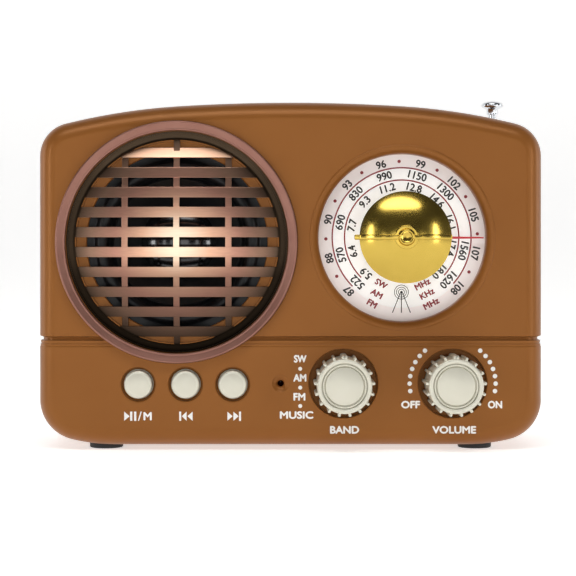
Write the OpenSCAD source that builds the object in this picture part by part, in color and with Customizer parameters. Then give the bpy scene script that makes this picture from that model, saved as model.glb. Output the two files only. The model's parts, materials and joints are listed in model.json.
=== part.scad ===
// Small table radio with a moulded case, a round speaker, a round tuning dial,
// two side knobs, three push buttons and a telescopic antenna behind the case.
// Millimetres. +X is to the right seen from the front, -Y is the front, +Z is up.
// The origin is under the middle of the whole radio, on the surface it stands on.

/* [Case] */
// Width of the case
case_w = 126.4; // [105:0.1:160]
// Height of the case without its feet
case_h = 86.2; // [82:0.1:105]
// Depth of the case from its front face to its back face
case_d = 50; // [46:1:70]
// Thickness of the moulded side walls
wall = 2; // [1.6:0.1:3]
// Thickness of the front wall
front_wall = 2.2; // [1.8:0.1:3]
// Radius of the rounding along the front and rear edges
edge_r = 4.5; // [3:0.1:5]
// Radius of the two upper corners
top_corner_r = 8.5; // [6:0.5:12]
// Radius of the two lower corners
foot_corner_r = 10.5; // [7:0.5:14]
// Radius of the middle stretch of the arched top
crown_r = 450; // [300:10:900]
// Radius of the arched top towards its shoulders
shoulder_r = 160; // [120:5:220]
// Radius of the underside where it starts to rise towards the corners
sill_r = 45; // [35:1:80]
// Depth of the front shell, up to the parting line
split_y = 22; // [21:0.5:26]
// Height of the groove that runs round the case
groove_z = 26.1; // [24:0.1:32]
// Width of the groove
groove_w = 2.1; // [1:0.1:3]
// Depth of the groove
groove_depth = 0.93; // [0.4:0.01:1.2]
// Length of the lip by which the rear shell enters the front shell
lip_l = 2; // [1:0.1:3]
// Gap between the lip and its seat
lip_gap = 0.1; // [0.05:0.01:0.2]

/* [Feet] */
// Radius of a rubber foot
foot_r = 4.25; // [3:0.05:5]
// Height that the feet lift the case
foot_h = 1.2; // [0.8:0.1:4]
// Depth of the pocket that a foot is glued into
foot_pocket = 0.9; // [0.5:0.1:1.2]
// Distance of the feet from the middle, sideways
foot_x = 46.9; // [35:0.1:47.5]
// Distance of a foot's centre from the nearest face, front or back
foot_inset = 9.5; // [9:0.1:12]

/* [Speaker] */
// Speaker centre, sideways from the middle of the case
speaker_x = -28.5; // [-29.5:0.1:-28]
// Speaker centre, above the underside of the case
speaker_z = 51; // [50:0.1:52]
// Outer radius of the trim ring
ring_r = 30.25; // [29.5:0.05:30.5]
// Inner radius of the trim ring
ring_bore_r = 28; // [27.5:0.05:28.4]
// Height that the trim ring stands out of the front
ring_proud = 1.8; // [1:0.1:3]
// Radius of the field of slots in the grille
slot_field_r = 25.6; // [24:0.1:26]
// Number of slats across the grille
slat_count = 10; // [6:2:12]
// Distance from one slat to the next
slat_pitch = 4.98; // [4:0.01:6]
// Height of a slat
slat_w = 2.58; // [1.5:0.01:3]
// Rise of the domed grille from its rim to its middle
grille_rise = 3.5; // [1:0.1:5]
// Thickness of the grille
grille_t = 1.2; // [0.8:0.1:2]
// Width of the upright ribs behind the slats
rib_w = 1.55; // [1:0.05:2.5]
// Distance between the upright ribs
rib_pitch = 12.95; // [8:0.05:16]
// Radius of the sound hole in the case
sound_hole_r = 22.7; // [20:0.1:24]
// Outer radius of the speaker's frame
basket_r = 26.3; // [25:0.1:27]
// Radius of the magnet
magnet_r = 13.5; // [10:0.5:16]
// Height of the magnet
magnet_h = 9; // [6:0.5:10]
// Depth from the speaker's flange to its magnet
basket_h = 14; // [10:0.5:15]

/* [Tuning dial] */
// Dial centre, sideways from the middle of the case
dial_x = 28; // [27:0.1:28.5]
// Dial centre, above the underside of the case
dial_z = 52.1; // [50.5:0.1:52.6]
// Radius of the opening in front of the dial plate
dial_r = 21; // [19:0.1:21.5]
// Width of the rounded lip round the opening
dial_lip = 1.5; // [0.5:0.1:2]
// Depth of the dial plate behind the front face
dial_sunk = 3.8; // [3.4:0.1:4.5]
// Thickness of the dial plate
dial_t = 1; // [0.8:0.1:1.5]
// Radius of the tuning knob's rim
tuning_r = 11.25; // [9:0.05:13]
// Height of the tuning knob's rim above the front face
tuning_rim = 11.5; // [8:0.1:14]
// Rise of the tuning knob's dome above its rim
tuning_rise = 4; // [2:0.1:5]
// Length of the pointer from the dial's centre
pointer_l = 20.5; // [16:0.1:20.8]
// Least angle of the tuning knob, from the printed position
tuning_low = -42; // [-60:1:0]
// Greatest angle of the tuning knob, from the printed position
tuning_high = 226; // [180:1:240]

/* [Side knobs] */
// Band knob centre, sideways from the middle of the case
band_x = 13.2; // [12.5:0.1:15]
// Volume knob centre, sideways from the middle of the case
volume_x = 40.5; // [38:0.1:41]
// Height of both knobs above the underside of the case
knob_z = 15.6; // [14.5:0.1:16]
// Radius of a knob between its ribs
knob_r = 6.75; // [6:0.05:7]
// Radius over the ribs
knob_rib_r = 7.55; // [7.2:0.05:7.7]
// Number of ribs
knob_ribs = 17; // [13:1:24]
// Height of a knob above the front face
knob_proud = 10.4; // [8:0.1:13]
// Radius of the round well in the front that a knob turns in
well_r = 8.6; // [8.2:0.1:8.8]
// Depth of the well
well_depth = 3.7; // [3:0.1:4]
// Radius of the control shafts
shaft_r = 3; // [2.5:0.1:3.2]
// Running clearance of a shaft in its bearing
run_gap = 0.05; // [0.02:0.01:0.09]

/* [Push buttons] */
// Left button's centre, sideways from the middle of the case
button_x = -38.1; // [-39:0.1:-37]
// Distance from one button to the next
button_pitch = 11.8; // [11.2:0.1:12.5]
// Height of the buttons above the underside of the case
button_z = 15.4; // [14.5:0.1:15.6]
// Radius of a button
button_r = 3.85; // [3.4:0.05:4]
// Gap between a button and its hole
button_gap = 0.5; // [0.2:0.05:0.6]
// Height of a button's edge above the front face
button_proud = 0.8; // [0.4:0.1:1.5]
// Height of the dome on top of a button
button_dome = 1; // [0.4:0.1:1.2]
// Distance that a button travels when pressed
button_travel = 0.5; // [0.25:0.05:0.6]
// Lamp hole's centre, sideways from the middle of the case
lamp_x = -2.5; // [-3:0.1:-2]

/* [Electronics] */
// Depth of the circuit board's front side behind the front face
board_y = 12; // [12:0.1:12.5]
// Thickness of the circuit board
board_t = 1.6; // [1:0.1:2]
// Radius of the headphone jack's bore
jack_r = 1.8; // [1.75:0.01:1.85]
// Depth of the headphone jack's bore
jack_l = 13; // [12:0.5:14]
// Width of the flat battery
battery_w = 53; // [40:0.5:56]
// Height of the flat battery
battery_h = 34; // [28:0.5:35]
// Thickness of the flat battery
battery_t = 5.6; // [4:0.1:6]

/* [Antenna] */
// Distance of the antenna's centre in from the right side of the case
antenna_side = 7.5; // [7.2:0.1:7.7]
// Distance of the antenna's centre in front of the back face
antenna_in = 3.2; // [3:0.1:3.6]
// Height of the antenna's hinge pin above the underside of the case
hinge_z = 10.5; // [10:0.1:12]
// Height of the antenna's tip above the top of the case
tip_above = 3.9; // [3.5:0.1:20]
// Outer radius of the widest antenna tube
antenna_r = 2.75; // [2.6:0.05:2.8]
// Wall of an antenna tube
tube_wall = 0.3; // [0.2:0.01:0.3]
// Sliding gap between one antenna tube and the next
tube_gap = 0.1; // [0.05:0.01:0.1]
// Distance that each antenna tube pulls out
tube_travel = 56; // [40:1:58]

/* [Hidden] */

$fn = 64;
// Overshoot that carries a cut past the face it opens
over = 0.5;
// Clearance between pieces that seat in one another
seat_gap = 0.15;

// Reach of the tuning knob's hub in front of its dome
hub_proud = 1;
tuning_reach = tuning_rim + tuning_rise + hub_proud;
front_y = -(case_d - tuning_reach) / 2;

case_brown = "#865127";
cream = "#e2e0cf";
gold = "#d9b84f";
steel = "#b8bcc0";
black = "#1a1a1c";

// ---------- helpers ----------

// Case coordinates: y is 0 at the front face, z is 0 at the underside
module in_case() {
    translate([0, front_y, foot_h]) children();
}

// A shape drawn along +Z from the origin, turned to run backwards (+Y) from y
module run_back(x, y, z) {
    translate([x, y, z]) rotate([-90, 0, 0]) children();
}

// Round bar along +Y between two depths
module bar_y(x, z, y0, y1, r) {
    run_back(x, y0, z) cylinder(h = y1 - y0, r = r);
}

// Cone frustum along +Y between two depths
module cone_y(x, z, y0, y1, r0, r1) {
    run_back(x, y0, z) cylinder(h = y1 - y0, r1 = r0, r2 = r1);
}

// Block given by its lowest corner and its highest corner
module block(low, high) {
    translate(low) cube(high - low);
}

// Points of an arc of n steps, without its last point
function arc(cx, cz, r, a0, a1, n) = [
    for (i = [0 : n - 1]) let (a = a0 + (a1 - a0) * i / n) [cx + r * cos(a), cz + r * sin(a)]
];

// Half width of the crown and of the flat sill
crown_x = case_w * 0.224;
sill_x = case_w * 0.352;
crown_a = asin(crown_x / crown_r);
crown_c = case_h - crown_r;
shoulder_cx = crown_x - shoulder_r * sin(crown_a);
shoulder_cz = crown_c + (crown_r - shoulder_r) * cos(crown_a);
top_cx = case_w / 2 - top_corner_r;
top_cz = shoulder_cz + sqrt(pow(shoulder_r - top_corner_r, 2) - pow(top_cx - shoulder_cx, 2));
top_a = atan2(top_cz - shoulder_cz, top_cx - shoulder_cx);
foot_cx = case_w / 2 - foot_corner_r;
foot_cz = sill_r - sqrt(pow(sill_r - foot_corner_r, 2) - pow(foot_cx - sill_x, 2));
foot_a = atan2(foot_cz - sill_r, foot_cx - sill_x);

// Right half of the case's outline from the sill up to the crown, drawn in by inset
function half_outline(inset) = concat(
    arc(sill_x, sill_r, sill_r - inset, -90, foot_a, 3),
    arc(foot_cx, foot_cz, foot_corner_r - inset, foot_a, 0, 8),
    arc(top_cx, top_cz, top_corner_r - inset, 0, top_a, 8),
    arc(shoulder_cx, shoulder_cz, shoulder_r - inset, top_a, 90 - crown_a, 4),
    arc(0, crown_c, crown_r - inset, 90 - crown_a, 90, 4)
);

function mirrored(points) = [
    for (i = [len(points) - 1 : -1 : 0]) [-points[i][0], points[i][1]]
];

function outline(inset) = concat(
    half_outline(inset), [[0, case_h - inset]], mirrored(half_outline(inset))
);

// Slab with the case's outline between two depths
module outline_slab(y0, y1, inset) {
    translate([0, y1, 0]) rotate([90, 0, 0]) linear_extrude(y1 - y0) polygon(outline(inset));
}

// Number of slabs that round the front and rear edges
edge_steps = 6;

// Case-shaped block with rounded front and rear edges, drawn in by inset on every side
module rounded_case(inset) {
    r = edge_r - inset;
    hull() {
        for (i = [0 : edge_steps]) {
            a = 90 * i / edge_steps;
            depth = inset + r * (1 - cos(a));
            outline_slab(depth, case_d - depth, inset + r * (1 - sin(a)));
        }
    }
}

// The solid case with its groove
module case_block() {
    difference() {
        rounded_case(0);
        difference() {
            block(
                [-case_w, -over, groove_z - groove_w / 2],
                [case_w, case_d + over, groove_z + groove_w / 2]
            );
            rounded_case(groove_depth);
        }
    }
}

// Screw posts that hold the two shells together: left low, left high, right high, right low
post_r = 3;
post_in_x = 8.5;
post_low_z = 9;
post_high_z = case_h - 12;
channel_w = 6.6;
channel_wall = 1.5;
// Distance by which the low right post runs into the channel's wall
post_merge = 0.1;
post_by_channel = antenna_side + channel_w / 2 + channel_wall + post_r - post_merge;
right_post_high = [case_w / 2 - post_by_channel - 2, case_h - post_in_x - 0.5];
right_post_low = [case_w / 2 - post_by_channel, 5.3];
posts = [
    [-case_w / 2 + post_in_x, post_low_z], [-case_w / 2 + post_in_x, post_high_z],
    right_post_high, right_post_low
];
screw_r = 1.2;
screw_head_r = 2.3;
screw_head_h = 1.6;
screw_bite = 9;
screw_sunk = 10;
screw_seat_y = case_d - screw_sunk;

// Posts that the board is screwed to
board_post_r = 2.2;
board_post_in = 4;
usb_post_gap = 3.4;
board_right = case_w / 2 - 5.5;
board_left = -case_w / 2 + 13.5;
board_screw_r = 0.9;
board_screw_head_r = 1.9;
board_screw_head_h = 1.2;
board_screw_bite = 6;

well_wall = 1.2;
well_floor = 1.5;
well_y = well_depth + well_floor;

dial_collar_wall = 1.6;
dial_plate_r = dial_r + dial_lip;
dial_back = dial_sunk + dial_t;

grille_rim_r = ring_bore_r - seat_gap;
grille_land_t = 0.6;
grille_seat_y = front_wall - grille_land_t;
baffle_t = 0.8;
speaker_flange_y = front_wall + baffle_t;
baffle_r = basket_r + 1.2;

lamp_r = 1.5;
lamp_l = 5;
lamp_flange = 0.4;
lamp_flange_t = 1;
lamp_hole_r = 0.7;
lamp_dimple_r = 2;

button_hole_r = button_r + button_gap;
button_lip = 0.5;

// Places of the sockets in the right wall, as heights of their centres
jack_z = 63.5;
card_z = 51;
usb_z = 36;
charge_z = 16;
board_back = board_y + board_t;
jack_body_w = 6.4;
jack_y = board_back + jack_body_w / 2;

usb_w = 13.2;
usb_t = 5.8;
card_w = 12;
card_t = 1.6;
charge_w = 8;
charge_t = 3;
jack_nose_r = 2.8;
board_posts = [
    [board_left + 3, 19.5],
    [lamp_x + 8.5, 27.5],
    [board_right - board_post_in, usb_z - usb_w / 2 - usb_post_gap],
    [lamp_x + 9.5, 69.8]
];

port_in = 0.2;
usb_l = 14;
card_l = 14;
charge_l = 6;
port_floor = 1;
usb_skin = 0.35;
thin_skin = 0.3;
usb_tongue_t = 1.8;
charge_tongue_t = 0.6;
card_cheek = 0.4;

// Antenna channel in the back
channel_front = case_d - antenna_in - 3.5;
channel_floor = 5.5;
antenna_x = case_w / 2 - antenna_side;
antenna_y = case_d - antenna_in;

// Battery bay in the back
bay_gap = 0.6;
bay_wall = 1.2;
bay_x = -4;
bay_z = 36;
door_t = 1.6;
door_rim = 3;
door_gap = 0.2;
contact_room = 1.6;
bay_hw = battery_w / 2 + bay_gap + contact_room;
bay_hh = battery_h / 2 + bay_gap;
bay_front = case_d - door_t - battery_t - bay_gap;
door_hw = bay_hw + door_rim;
door_hh = bay_hh + door_rim;

rod_r = 3.5;
rod_l = 60;
rod_y = case_d - 14;
rod_z = case_h - 9.5;
rod_x = -2;
holder_t = 2;
holder_in = 6;

// ---------- case ----------

module front_shell() color(case_brown) in_case() {
    difference() {
        union() {
            difference() {
                intersection() {
                    case_block();
                    block([-case_w, -over, -over], [case_w, split_y, case_h + over]);
                }
                outline_slab(front_wall, split_y + over, wall);
                outline_slab(split_y - lip_l - lip_gap, split_y + over, wall / 2);
            }
            baffle();
            bar_y(dial_x, dial_z, front_wall - over, dial_back, dial_plate_r + dial_collar_wall);
            for (x = [band_x, volume_x]) bar_y(x, knob_z, front_wall - over, well_y, well_r + well_wall);
            intersection() {
                outline_slab(front_wall - over, split_y, wall / 2);
                for (p = posts) bar_y(p[0], p[1], front_wall - over, split_y, post_r);
            }
            for (p = board_posts) bar_y(p[0], p[1], front_wall - over, board_y, board_post_r);
        }
        speaker_opening();
        dial_opening();
        for (x = [band_x, volume_x]) knob_opening(x);
        for (i = [0 : 2]) button_opening(button_x + i * button_pitch);
        lamp_opening();
        socket_openings();
        for (p = posts) bar_y(p[0], p[1], split_y - screw_bite, split_y + over, screw_r);
        for (p = board_posts) bar_y(p[0], p[1], board_y - board_screw_bite, board_y + over, board_screw_r);
        foot_pockets();
    }
}

// Thickened ring of the front wall that the grille and the speaker seat on
module baffle() {
    bar_y(speaker_x, speaker_z, front_wall - over, speaker_flange_y, baffle_r);
}

module speaker_opening() {
    bar_y(speaker_x, speaker_z, -over, speaker_flange_y + over, sound_hole_r);
    bar_y(speaker_x, speaker_z, -over, grille_seat_y, ring_bore_r);
    difference() {
        bar_y(speaker_x, speaker_z, -over, ring_seat, ring_r + seat_gap);
        bar_y(speaker_x, speaker_z, -2 * over, ring_seat + over, ring_bore_r - over);
    }
    for (a = speaker_screw_angles) {
        speaker_screw_place(a)
            bar_y(0, 0, speaker_flange_y - speaker_screw_bite, speaker_flange_y + over, speaker_screw_r);
    }
}

ring_seat = 0.5;
speaker_screw_bite = 1;
speaker_screw_r = 0.7;
speaker_screw_head_r = 1.2;
speaker_screw_head_h = 0.9;
speaker_screw_angles = [90, 210, 330];
speaker_screw_ring = basket_r - speaker_screw_head_r - 0.1;

module speaker_screw_place(a) {
    r = speaker_screw_ring;
    translate([speaker_x + r * cos(a), 0, speaker_z + r * sin(a)]) children();
}

module dial_opening() {
    bar_y(dial_x, dial_z, -over, dial_back, dial_r);
    cone_y(dial_x, dial_z, 0, dial_lip, dial_r + dial_lip, dial_r);
    bar_y(dial_x, dial_z, dial_sunk, dial_back + over, dial_plate_r + seat_gap);
}

module knob_opening(x) {
    bar_y(x, knob_z, -over, well_depth, well_r);
    bar_y(x, knob_z, well_depth - over, well_y + over, shaft_r + button_gap);
}

module button_opening(x) {
    bar_y(x, button_z, -over, front_wall + over, button_hole_r);
    cone_y(x, button_z, 0, button_lip, button_hole_r + button_lip, button_hole_r);
}

module lamp_opening() {
    bar_y(lamp_x, knob_z, -over, front_wall + over, lamp_hole_r);
    cone_y(lamp_x, knob_z, 0, lamp_dimple_r - lamp_hole_r, lamp_dimple_r, lamp_hole_r);
}

// Openings for the sockets through the right wall
module socket_openings() {
    socket_opening(usb_z, usb_w, usb_t);
    socket_opening(card_z, card_w, card_t);
    socket_opening(charge_z, charge_w, charge_t);
    translate([case_w / 2 - wall - over, jack_y, jack_z]) rotate([0, 90, 0])
        cylinder(h = wall + 2 * over, r = jack_nose_r + seat_gap);
}

module socket_opening(z, w, t) {
    block(
        [case_w / 2 - wall - over, board_back - seat_gap, z - w / 2 - seat_gap],
        [case_w / 2 + over, board_back + t + seat_gap, z + w / 2 + seat_gap]
    );
}

module foot_pockets() {
    for (p = foot_places) {
        translate([p[0], p[1], -over]) cylinder(h = foot_pocket + over, r = foot_r + seat_gap);
    }
}

foot_places = [
    for (x = [-foot_x, foot_x], y = [foot_inset, case_d - foot_inset]) [x, y]
];

module rear_shell() color(case_brown) in_case() {
    difference() {
        union() {
            difference() {
                intersection() {
                    case_block();
                    block([-case_w, split_y, -over], [case_w, case_d + over, case_h + over]);
                }
                outline_slab(split_y - over, case_d - wall, wall);
            }
            difference() {
                outline_slab(split_y - lip_l, split_y + over, wall / 2 + lip_gap);
                outline_slab(split_y - lip_l - over, split_y + 2 * over, wall);
            }
            intersection() {
                outline_slab(split_y, case_d - wall / 2, wall / 2);
                union() {
                    for (p = posts) bar_y(p[0], p[1], split_y, case_d - wall / 2, post_r);
                    channel_walls();
                }
            }
            bay_walls();
            rod_holders();
        }
        for (p = posts) {
            bar_y(p[0], p[1], split_y - over, case_d + over, screw_r + seat_gap);
            bar_y(p[0], p[1], screw_seat_y, case_d + over, screw_head_r + seat_gap);
        }
        channel();
        bay();
        foot_pockets();
    }
}

module channel_walls() {
    block(
        [antenna_x - channel_w / 2 - channel_wall, channel_front - channel_wall, 0],
        [antenna_x + channel_w / 2 + channel_wall, case_d, case_h]
    );
}

module channel() {
    block(
        [antenna_x - channel_w / 2, channel_front, channel_floor],
        [antenna_x + channel_w / 2, case_d + over, case_h + over]
    );
}

module bay_walls() {
    block(
        [bay_x - door_hw, bay_front - bay_wall, bay_z - door_hh],
        [bay_x + door_hw, case_d - wall / 2, bay_z + door_hh]
    );
}

module bay() {
    block([bay_x - bay_hw, bay_front, bay_z - bay_hh], [bay_x + bay_hw, case_d + over, bay_z + bay_hh]);
    block(
        [bay_x - door_hw, case_d - door_t, bay_z - door_hh],
        [bay_x + door_hw, case_d + over, bay_z + door_hh]
    );
}

module rod_holders() {
    for (x = [rod_x - rod_l / 2 + holder_in, rod_x + rod_l / 2 - holder_in]) {
        difference() {
            block(
                [x - holder_t / 2, rod_y - rod_r - holder_t, rod_z - rod_r - holder_t],
                [x + holder_t / 2, case_d - wall / 2, rod_z + holder_t]
            );
            translate([x - holder_t, rod_y, rod_z]) rotate([0, 90, 0]) cylinder(h = 2 * holder_t, r = rod_r);
        }
    }
}

module rubber_feet() color(black) in_case() {
    for (p = foot_places) translate([p[0], p[1], -foot_h]) cylinder(h = foot_h + foot_pocket, r = foot_r);
}

module case_screws() color(steel) in_case() {
    for (p = posts) {
        bar_y(p[0], p[1], screw_seat_y, screw_seat_y + screw_head_h, screw_head_r);
        bar_y(p[0], p[1], split_y - screw_bite + over, screw_seat_y, screw_r);
    }
}

module battery_door() color(case_brown) in_case() {
    block(
        [bay_x - door_hw + door_gap, case_d - door_t, bay_z - door_hh + door_gap],
        [bay_x + door_hw - door_gap, case_d, bay_z + door_hh - door_gap]
    );
}

// ---------- speaker ----------

module speaker_ring() color("#8d6558") in_case() {
    run_back(speaker_x, 0, speaker_z) rotate_extrude() polygon([
        [ring_bore_r + seat_gap, ring_seat], [ring_r, ring_seat], [ring_r, -ring_proud + 0.5],
        [ring_r - 0.5, -ring_proud], [ring_bore_r + seat_gap, -ring_proud / 3]
    ]);
}

// Radius of the sphere that the grille's dome is cut from
function dome_radius(r, rise) = (r * r + rise * rise) / (2 * rise);

// Shallow dome, convex towards the front, from its rim at depth y
module dome_shell(x, y, z, r, rise, t) {
    big = dome_radius(r, rise);
    intersection() {
        difference() {
            translate([x, y + big - rise, z]) sphere(r = big, $fn = 180);
            translate([x, y + big - rise, z]) sphere(r = big - t, $fn = 180);
        }
        bar_y(x, z, y - rise - over, y, r);
    }
}

grille_flat = 1.3;
grille_dome_r = ring_bore_r - grille_flat;
slot_w = slat_pitch - slat_w;
rib_set_in = grille_t * 0.8;
rib_t = grille_t * 0.6;
grille_rim_y = grille_seat_y - grille_t;

module speaker_grille() color("#6b5145") in_case() {
    difference() {
        union() {
            dome_shell(speaker_x, grille_seat_y, speaker_z, grille_dome_r, grille_rise, grille_t);
            difference() {
                bar_y(speaker_x, speaker_z, grille_rim_y, grille_seat_y, grille_rim_r);
                bar_y(speaker_x, speaker_z, grille_rim_y - over, grille_seat_y + over, slot_field_r);
            }
        }
        intersection() {
            bar_y(speaker_x, speaker_z, -grille_rise - over, grille_seat_y + over, slot_field_r);
            for (i = [-slat_count / 2 : slat_count / 2]) {
                block(
                    [speaker_x - basket_r, -grille_rise - over, speaker_z + i * slat_pitch - slot_w / 2],
                    [speaker_x + basket_r, grille_seat_y + over, speaker_z + i * slat_pitch + slot_w / 2]
                );
            }
        }
    }
    intersection() {
        dome_shell(speaker_x, grille_seat_y, speaker_z, slot_field_r, grille_rise - rib_set_in, rib_t);
        for (i = [-1 : 1]) {
            block(
                [speaker_x + i * rib_pitch - rib_w / 2, -grille_rise, speaker_z - basket_r],
                [speaker_x + i * rib_pitch + rib_w / 2, grille_seat_y, speaker_z + basket_r]
            );
        }
    }
}

flange_t = 1;
flange_back = speaker_flange_y + flange_t;
basket_neck_r = magnet_r - 1;
basket_wall = 0.8;
cone_r = 21;
cone_t = 0.5;
voice_r = 6;
cone_back = flange_back + 9;
cone_seat = 0.2;
coil_former_l = 5;
dust_cap_rise = 2.2;
dust_cap_t = 0.4;
cap_lap = 1.2;
magnet_back_t = 2;

module speaker_basket() color("#50545a") in_case() {
    difference() {
        union() {
            bar_y(speaker_x, speaker_z, speaker_flange_y, flange_back, basket_r);
            cone_y(
                speaker_x, speaker_z, flange_back, flange_back + basket_h,
                sound_hole_r + 1, basket_neck_r
            );
        }
        bar_y(speaker_x, speaker_z, speaker_flange_y - over, flange_back, sound_hole_r);
        cone_y(
            speaker_x, speaker_z, flange_back - over, flange_back + basket_h - basket_wall,
            sound_hole_r + 1 - basket_wall, basket_neck_r - basket_wall
        );
        bar_y(speaker_x, speaker_z, flange_back, flange_back + basket_h + over, voice_r + 1);
        for (a = speaker_screw_angles) {
            speaker_screw_place(a)
                bar_y(0, 0, speaker_flange_y - over, flange_back + over, speaker_screw_r + seat_gap);
        }
    }
}

module speaker_magnet() color("#33363a") in_case() {
    magnet_back = flange_back + basket_h + magnet_h;
    difference() {
        bar_y(speaker_x, speaker_z, flange_back + basket_h, magnet_back, magnet_r);
        bar_y(speaker_x, speaker_z, flange_back + basket_h - over, magnet_back - magnet_back_t, voice_r + 1);
    }
}

module speaker_cone() color("#202023") in_case() {
    run_back(speaker_x, 0, speaker_z) rotate_extrude() polygon([
        [sound_hole_r - seat_gap, speaker_flange_y + cone_seat], [sound_hole_r - seat_gap, flange_back],
        [cone_r, flange_back], [voice_r, cone_back], [voice_r, cone_back + coil_former_l],
        [voice_r - cone_t, cone_back + coil_former_l], [voice_r - cone_t, cone_back - cone_t],
        [cone_r - cone_t, flange_back - cone_t]
    ]);
}

module speaker_dust_cap() color(black) in_case() {
    cap_y = cone_back - cone_t - 1.6;
    dome_shell(speaker_x, cap_y, speaker_z, voice_r + cap_lap, dust_cap_rise, dust_cap_t);
}

module speaker_screws() color(steel) in_case() {
    for (a = speaker_screw_angles) {
        speaker_screw_place(a) {
            bar_y(0, 0, flange_back, flange_back + speaker_screw_head_h, speaker_screw_head_r);
            bar_y(0, 0, speaker_flange_y - speaker_screw_bite, flange_back, speaker_screw_r);
        }
    }
}

// ---------- dial and tuning ----------

shaft_hole_gap = 0.4;
pointer_y = dial_sunk - 1.4;
pointer_t = 0.5;
pointer_root_w = 1.1;
pointer_tip_w = 0.4;
pointer_boss = 1.5;
tuning_foot_r = tuning_r - 2.2;
hub_r = 3;
knob_skirt = 1.2;
knob_bore_y = -tuning_rim + 3;
grip_proud = 0.4;
grip_w = 1.3;
grip_out = 1.25;
capacitor_w = 20;
control_h = 6;
capacitor_y = board_y - control_h;
shaft_end = board_y - 1;

module dial_plate() color("#efe6e4") in_case() {
    difference() {
        bar_y(dial_x, dial_z, dial_sunk, dial_back, dial_plate_r);
        bar_y(dial_x, dial_z, dial_sunk - over, dial_back + over, shaft_r + shaft_hole_gap);
    }
}

module tuning_knob() color(gold) in_case() {
    big = dome_radius(tuning_r, tuning_rise);
    difference() {
        union() {
            run_back(dial_x, 0, dial_z) rotate_extrude() polygon([
                [0, -tuning_rim], [tuning_r, -tuning_rim], [tuning_r, -tuning_rim + knob_skirt],
                [tuning_r - knob_skirt, -tuning_rim + 2 * knob_skirt],
                [tuning_foot_r, pointer_y - pointer_t],
                [0, pointer_y - pointer_t]
            ]);
            intersection() {
                translate([dial_x, -tuning_rim + big - tuning_rise, dial_z]) sphere(r = big, $fn = 128);
                bar_y(dial_x, dial_z, -tuning_rim - tuning_rise - over, -tuning_rim, tuning_r);
            }
            block(
                [dial_x - tuning_r - grip_out, -tuning_rim - grip_proud, dial_z - grip_w / 2],
                [dial_x + tuning_r, -tuning_rim + knob_skirt, dial_z + grip_w / 2]
            );
            bar_y(dial_x, dial_z, -tuning_reach, -tuning_rim, hub_r);
        }
        bar_y(dial_x, dial_z, knob_bore_y, dial_sunk, shaft_r);
    }
}

// Needle held between the knob and its shaft's shoulder
module dial_pointer() color("#c8202a") in_case() {
    difference() {
        union() {
            translate([dial_x, pointer_y, dial_z]) rotate([90, 0, 0]) linear_extrude(pointer_t) polygon([
                [0, -pointer_root_w / 2], [pointer_l, -pointer_tip_w / 2],
                [pointer_l, pointer_tip_w / 2], [0, pointer_root_w / 2]
            ]);
            bar_y(dial_x, dial_z, pointer_y - pointer_t, pointer_y, shaft_r + pointer_boss);
        }
        bar_y(dial_x, dial_z, pointer_y - 2 * pointer_t, pointer_y + over, shaft_r);
    }
}

module tuning_shaft() color(steel) in_case() {
    bar_y(dial_x, dial_z, knob_bore_y, shaft_end, shaft_r);
}

module tuning_capacitor() color("#2f4f6f") in_case() {
    difference() {
        block(
            [dial_x - capacitor_w / 2, capacitor_y, dial_z - capacitor_w / 2],
            [dial_x + capacitor_w / 2, board_y, dial_z + capacitor_w / 2]
        );
        bar_y(dial_x, dial_z, capacitor_y - over, shaft_end + seat_gap, shaft_r + run_gap);
    }
}

// ---------- side knobs ----------

knob_foot_gap = 0.6;
knob_foot_y = well_depth - knob_foot_gap;
knob_bore_depth = 10;
control_y = board_y - control_h;
control_r = 7;
groove_ring_r = 5.6;
dish = 0.3;
rib_width = 0.9;
index_rib = 1.5;
ring_groove_w = 0.4;
rib_set_back = 0.45;
rib_foot_gap = 0.15;
knob_chamfer = 0.3;

module ribbed_knob(x) {
    difference() {
        union() {
            run_back(x, 0, knob_z) rotate_extrude() polygon([
                [0, dish - knob_proud], [groove_ring_r - ring_groove_w, -knob_proud],
                [groove_ring_r, knob_chamfer - knob_proud], [groove_ring_r + ring_groove_w, -knob_proud],
                [knob_r - knob_chamfer, -knob_proud], [knob_r, knob_chamfer - knob_proud],
                [knob_r, knob_foot_y], [0, knob_foot_y]
            ]);
            for (i = [0 : knob_ribs - 1]) {
                w = i == 0 ? index_rib : rib_width;
                translate([x, 0, knob_z]) rotate([0, i * 360 / knob_ribs, 0])
                    block(
                        [-w / 2, rib_set_back - knob_proud, knob_r - over],
                        [w / 2, knob_foot_y - rib_foot_gap, knob_rib_r]
                    );
            }
        }
        bar_y(x, knob_z, knob_foot_y - knob_bore_depth, knob_foot_y + over, shaft_r);
    }
}

module control_shaft(x) {
    bar_y(x, knob_z, knob_foot_y - knob_bore_depth, shaft_end, shaft_r);
}

module band_knob() color(cream) in_case() ribbed_knob(band_x);

module band_shaft() color(steel) in_case() control_shaft(band_x);

module volume_knob() color(cream) in_case() ribbed_knob(volume_x);

module volume_shaft() color(steel) in_case() control_shaft(volume_x);

module band_switch() color("#e6e2d0") in_case() {
    difference() {
        block(
            [band_x - control_r, control_y, knob_z - control_r],
            [band_x + control_r, board_y, knob_z + control_r]
        );
        bar_y(band_x, knob_z, control_y - over, shaft_end + seat_gap, shaft_r + run_gap);
    }
}

module volume_control() color("#7d8287") in_case() {
    difference() {
        bar_y(volume_x, knob_z, control_y, board_y, control_r);
        bar_y(volume_x, knob_z, control_y - over, shaft_end + seat_gap, shaft_r + run_gap);
    }
}

// ---------- buttons ----------

button_flange_lap = 0.7;
button_flange_r = button_hole_r + button_flange_lap;
button_flange_y = front_wall + 2 * seat_gap;
button_flange_t = 1;
button_stem_r = 1.8;
switch_w = 6;
switch_h = 3.5;
plunger_h = 1.5;
plunger_r = 1.7;
plunger_in = 0.8;
switch_y = board_y - switch_h;
press_room = button_travel + seat_gap;

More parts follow.
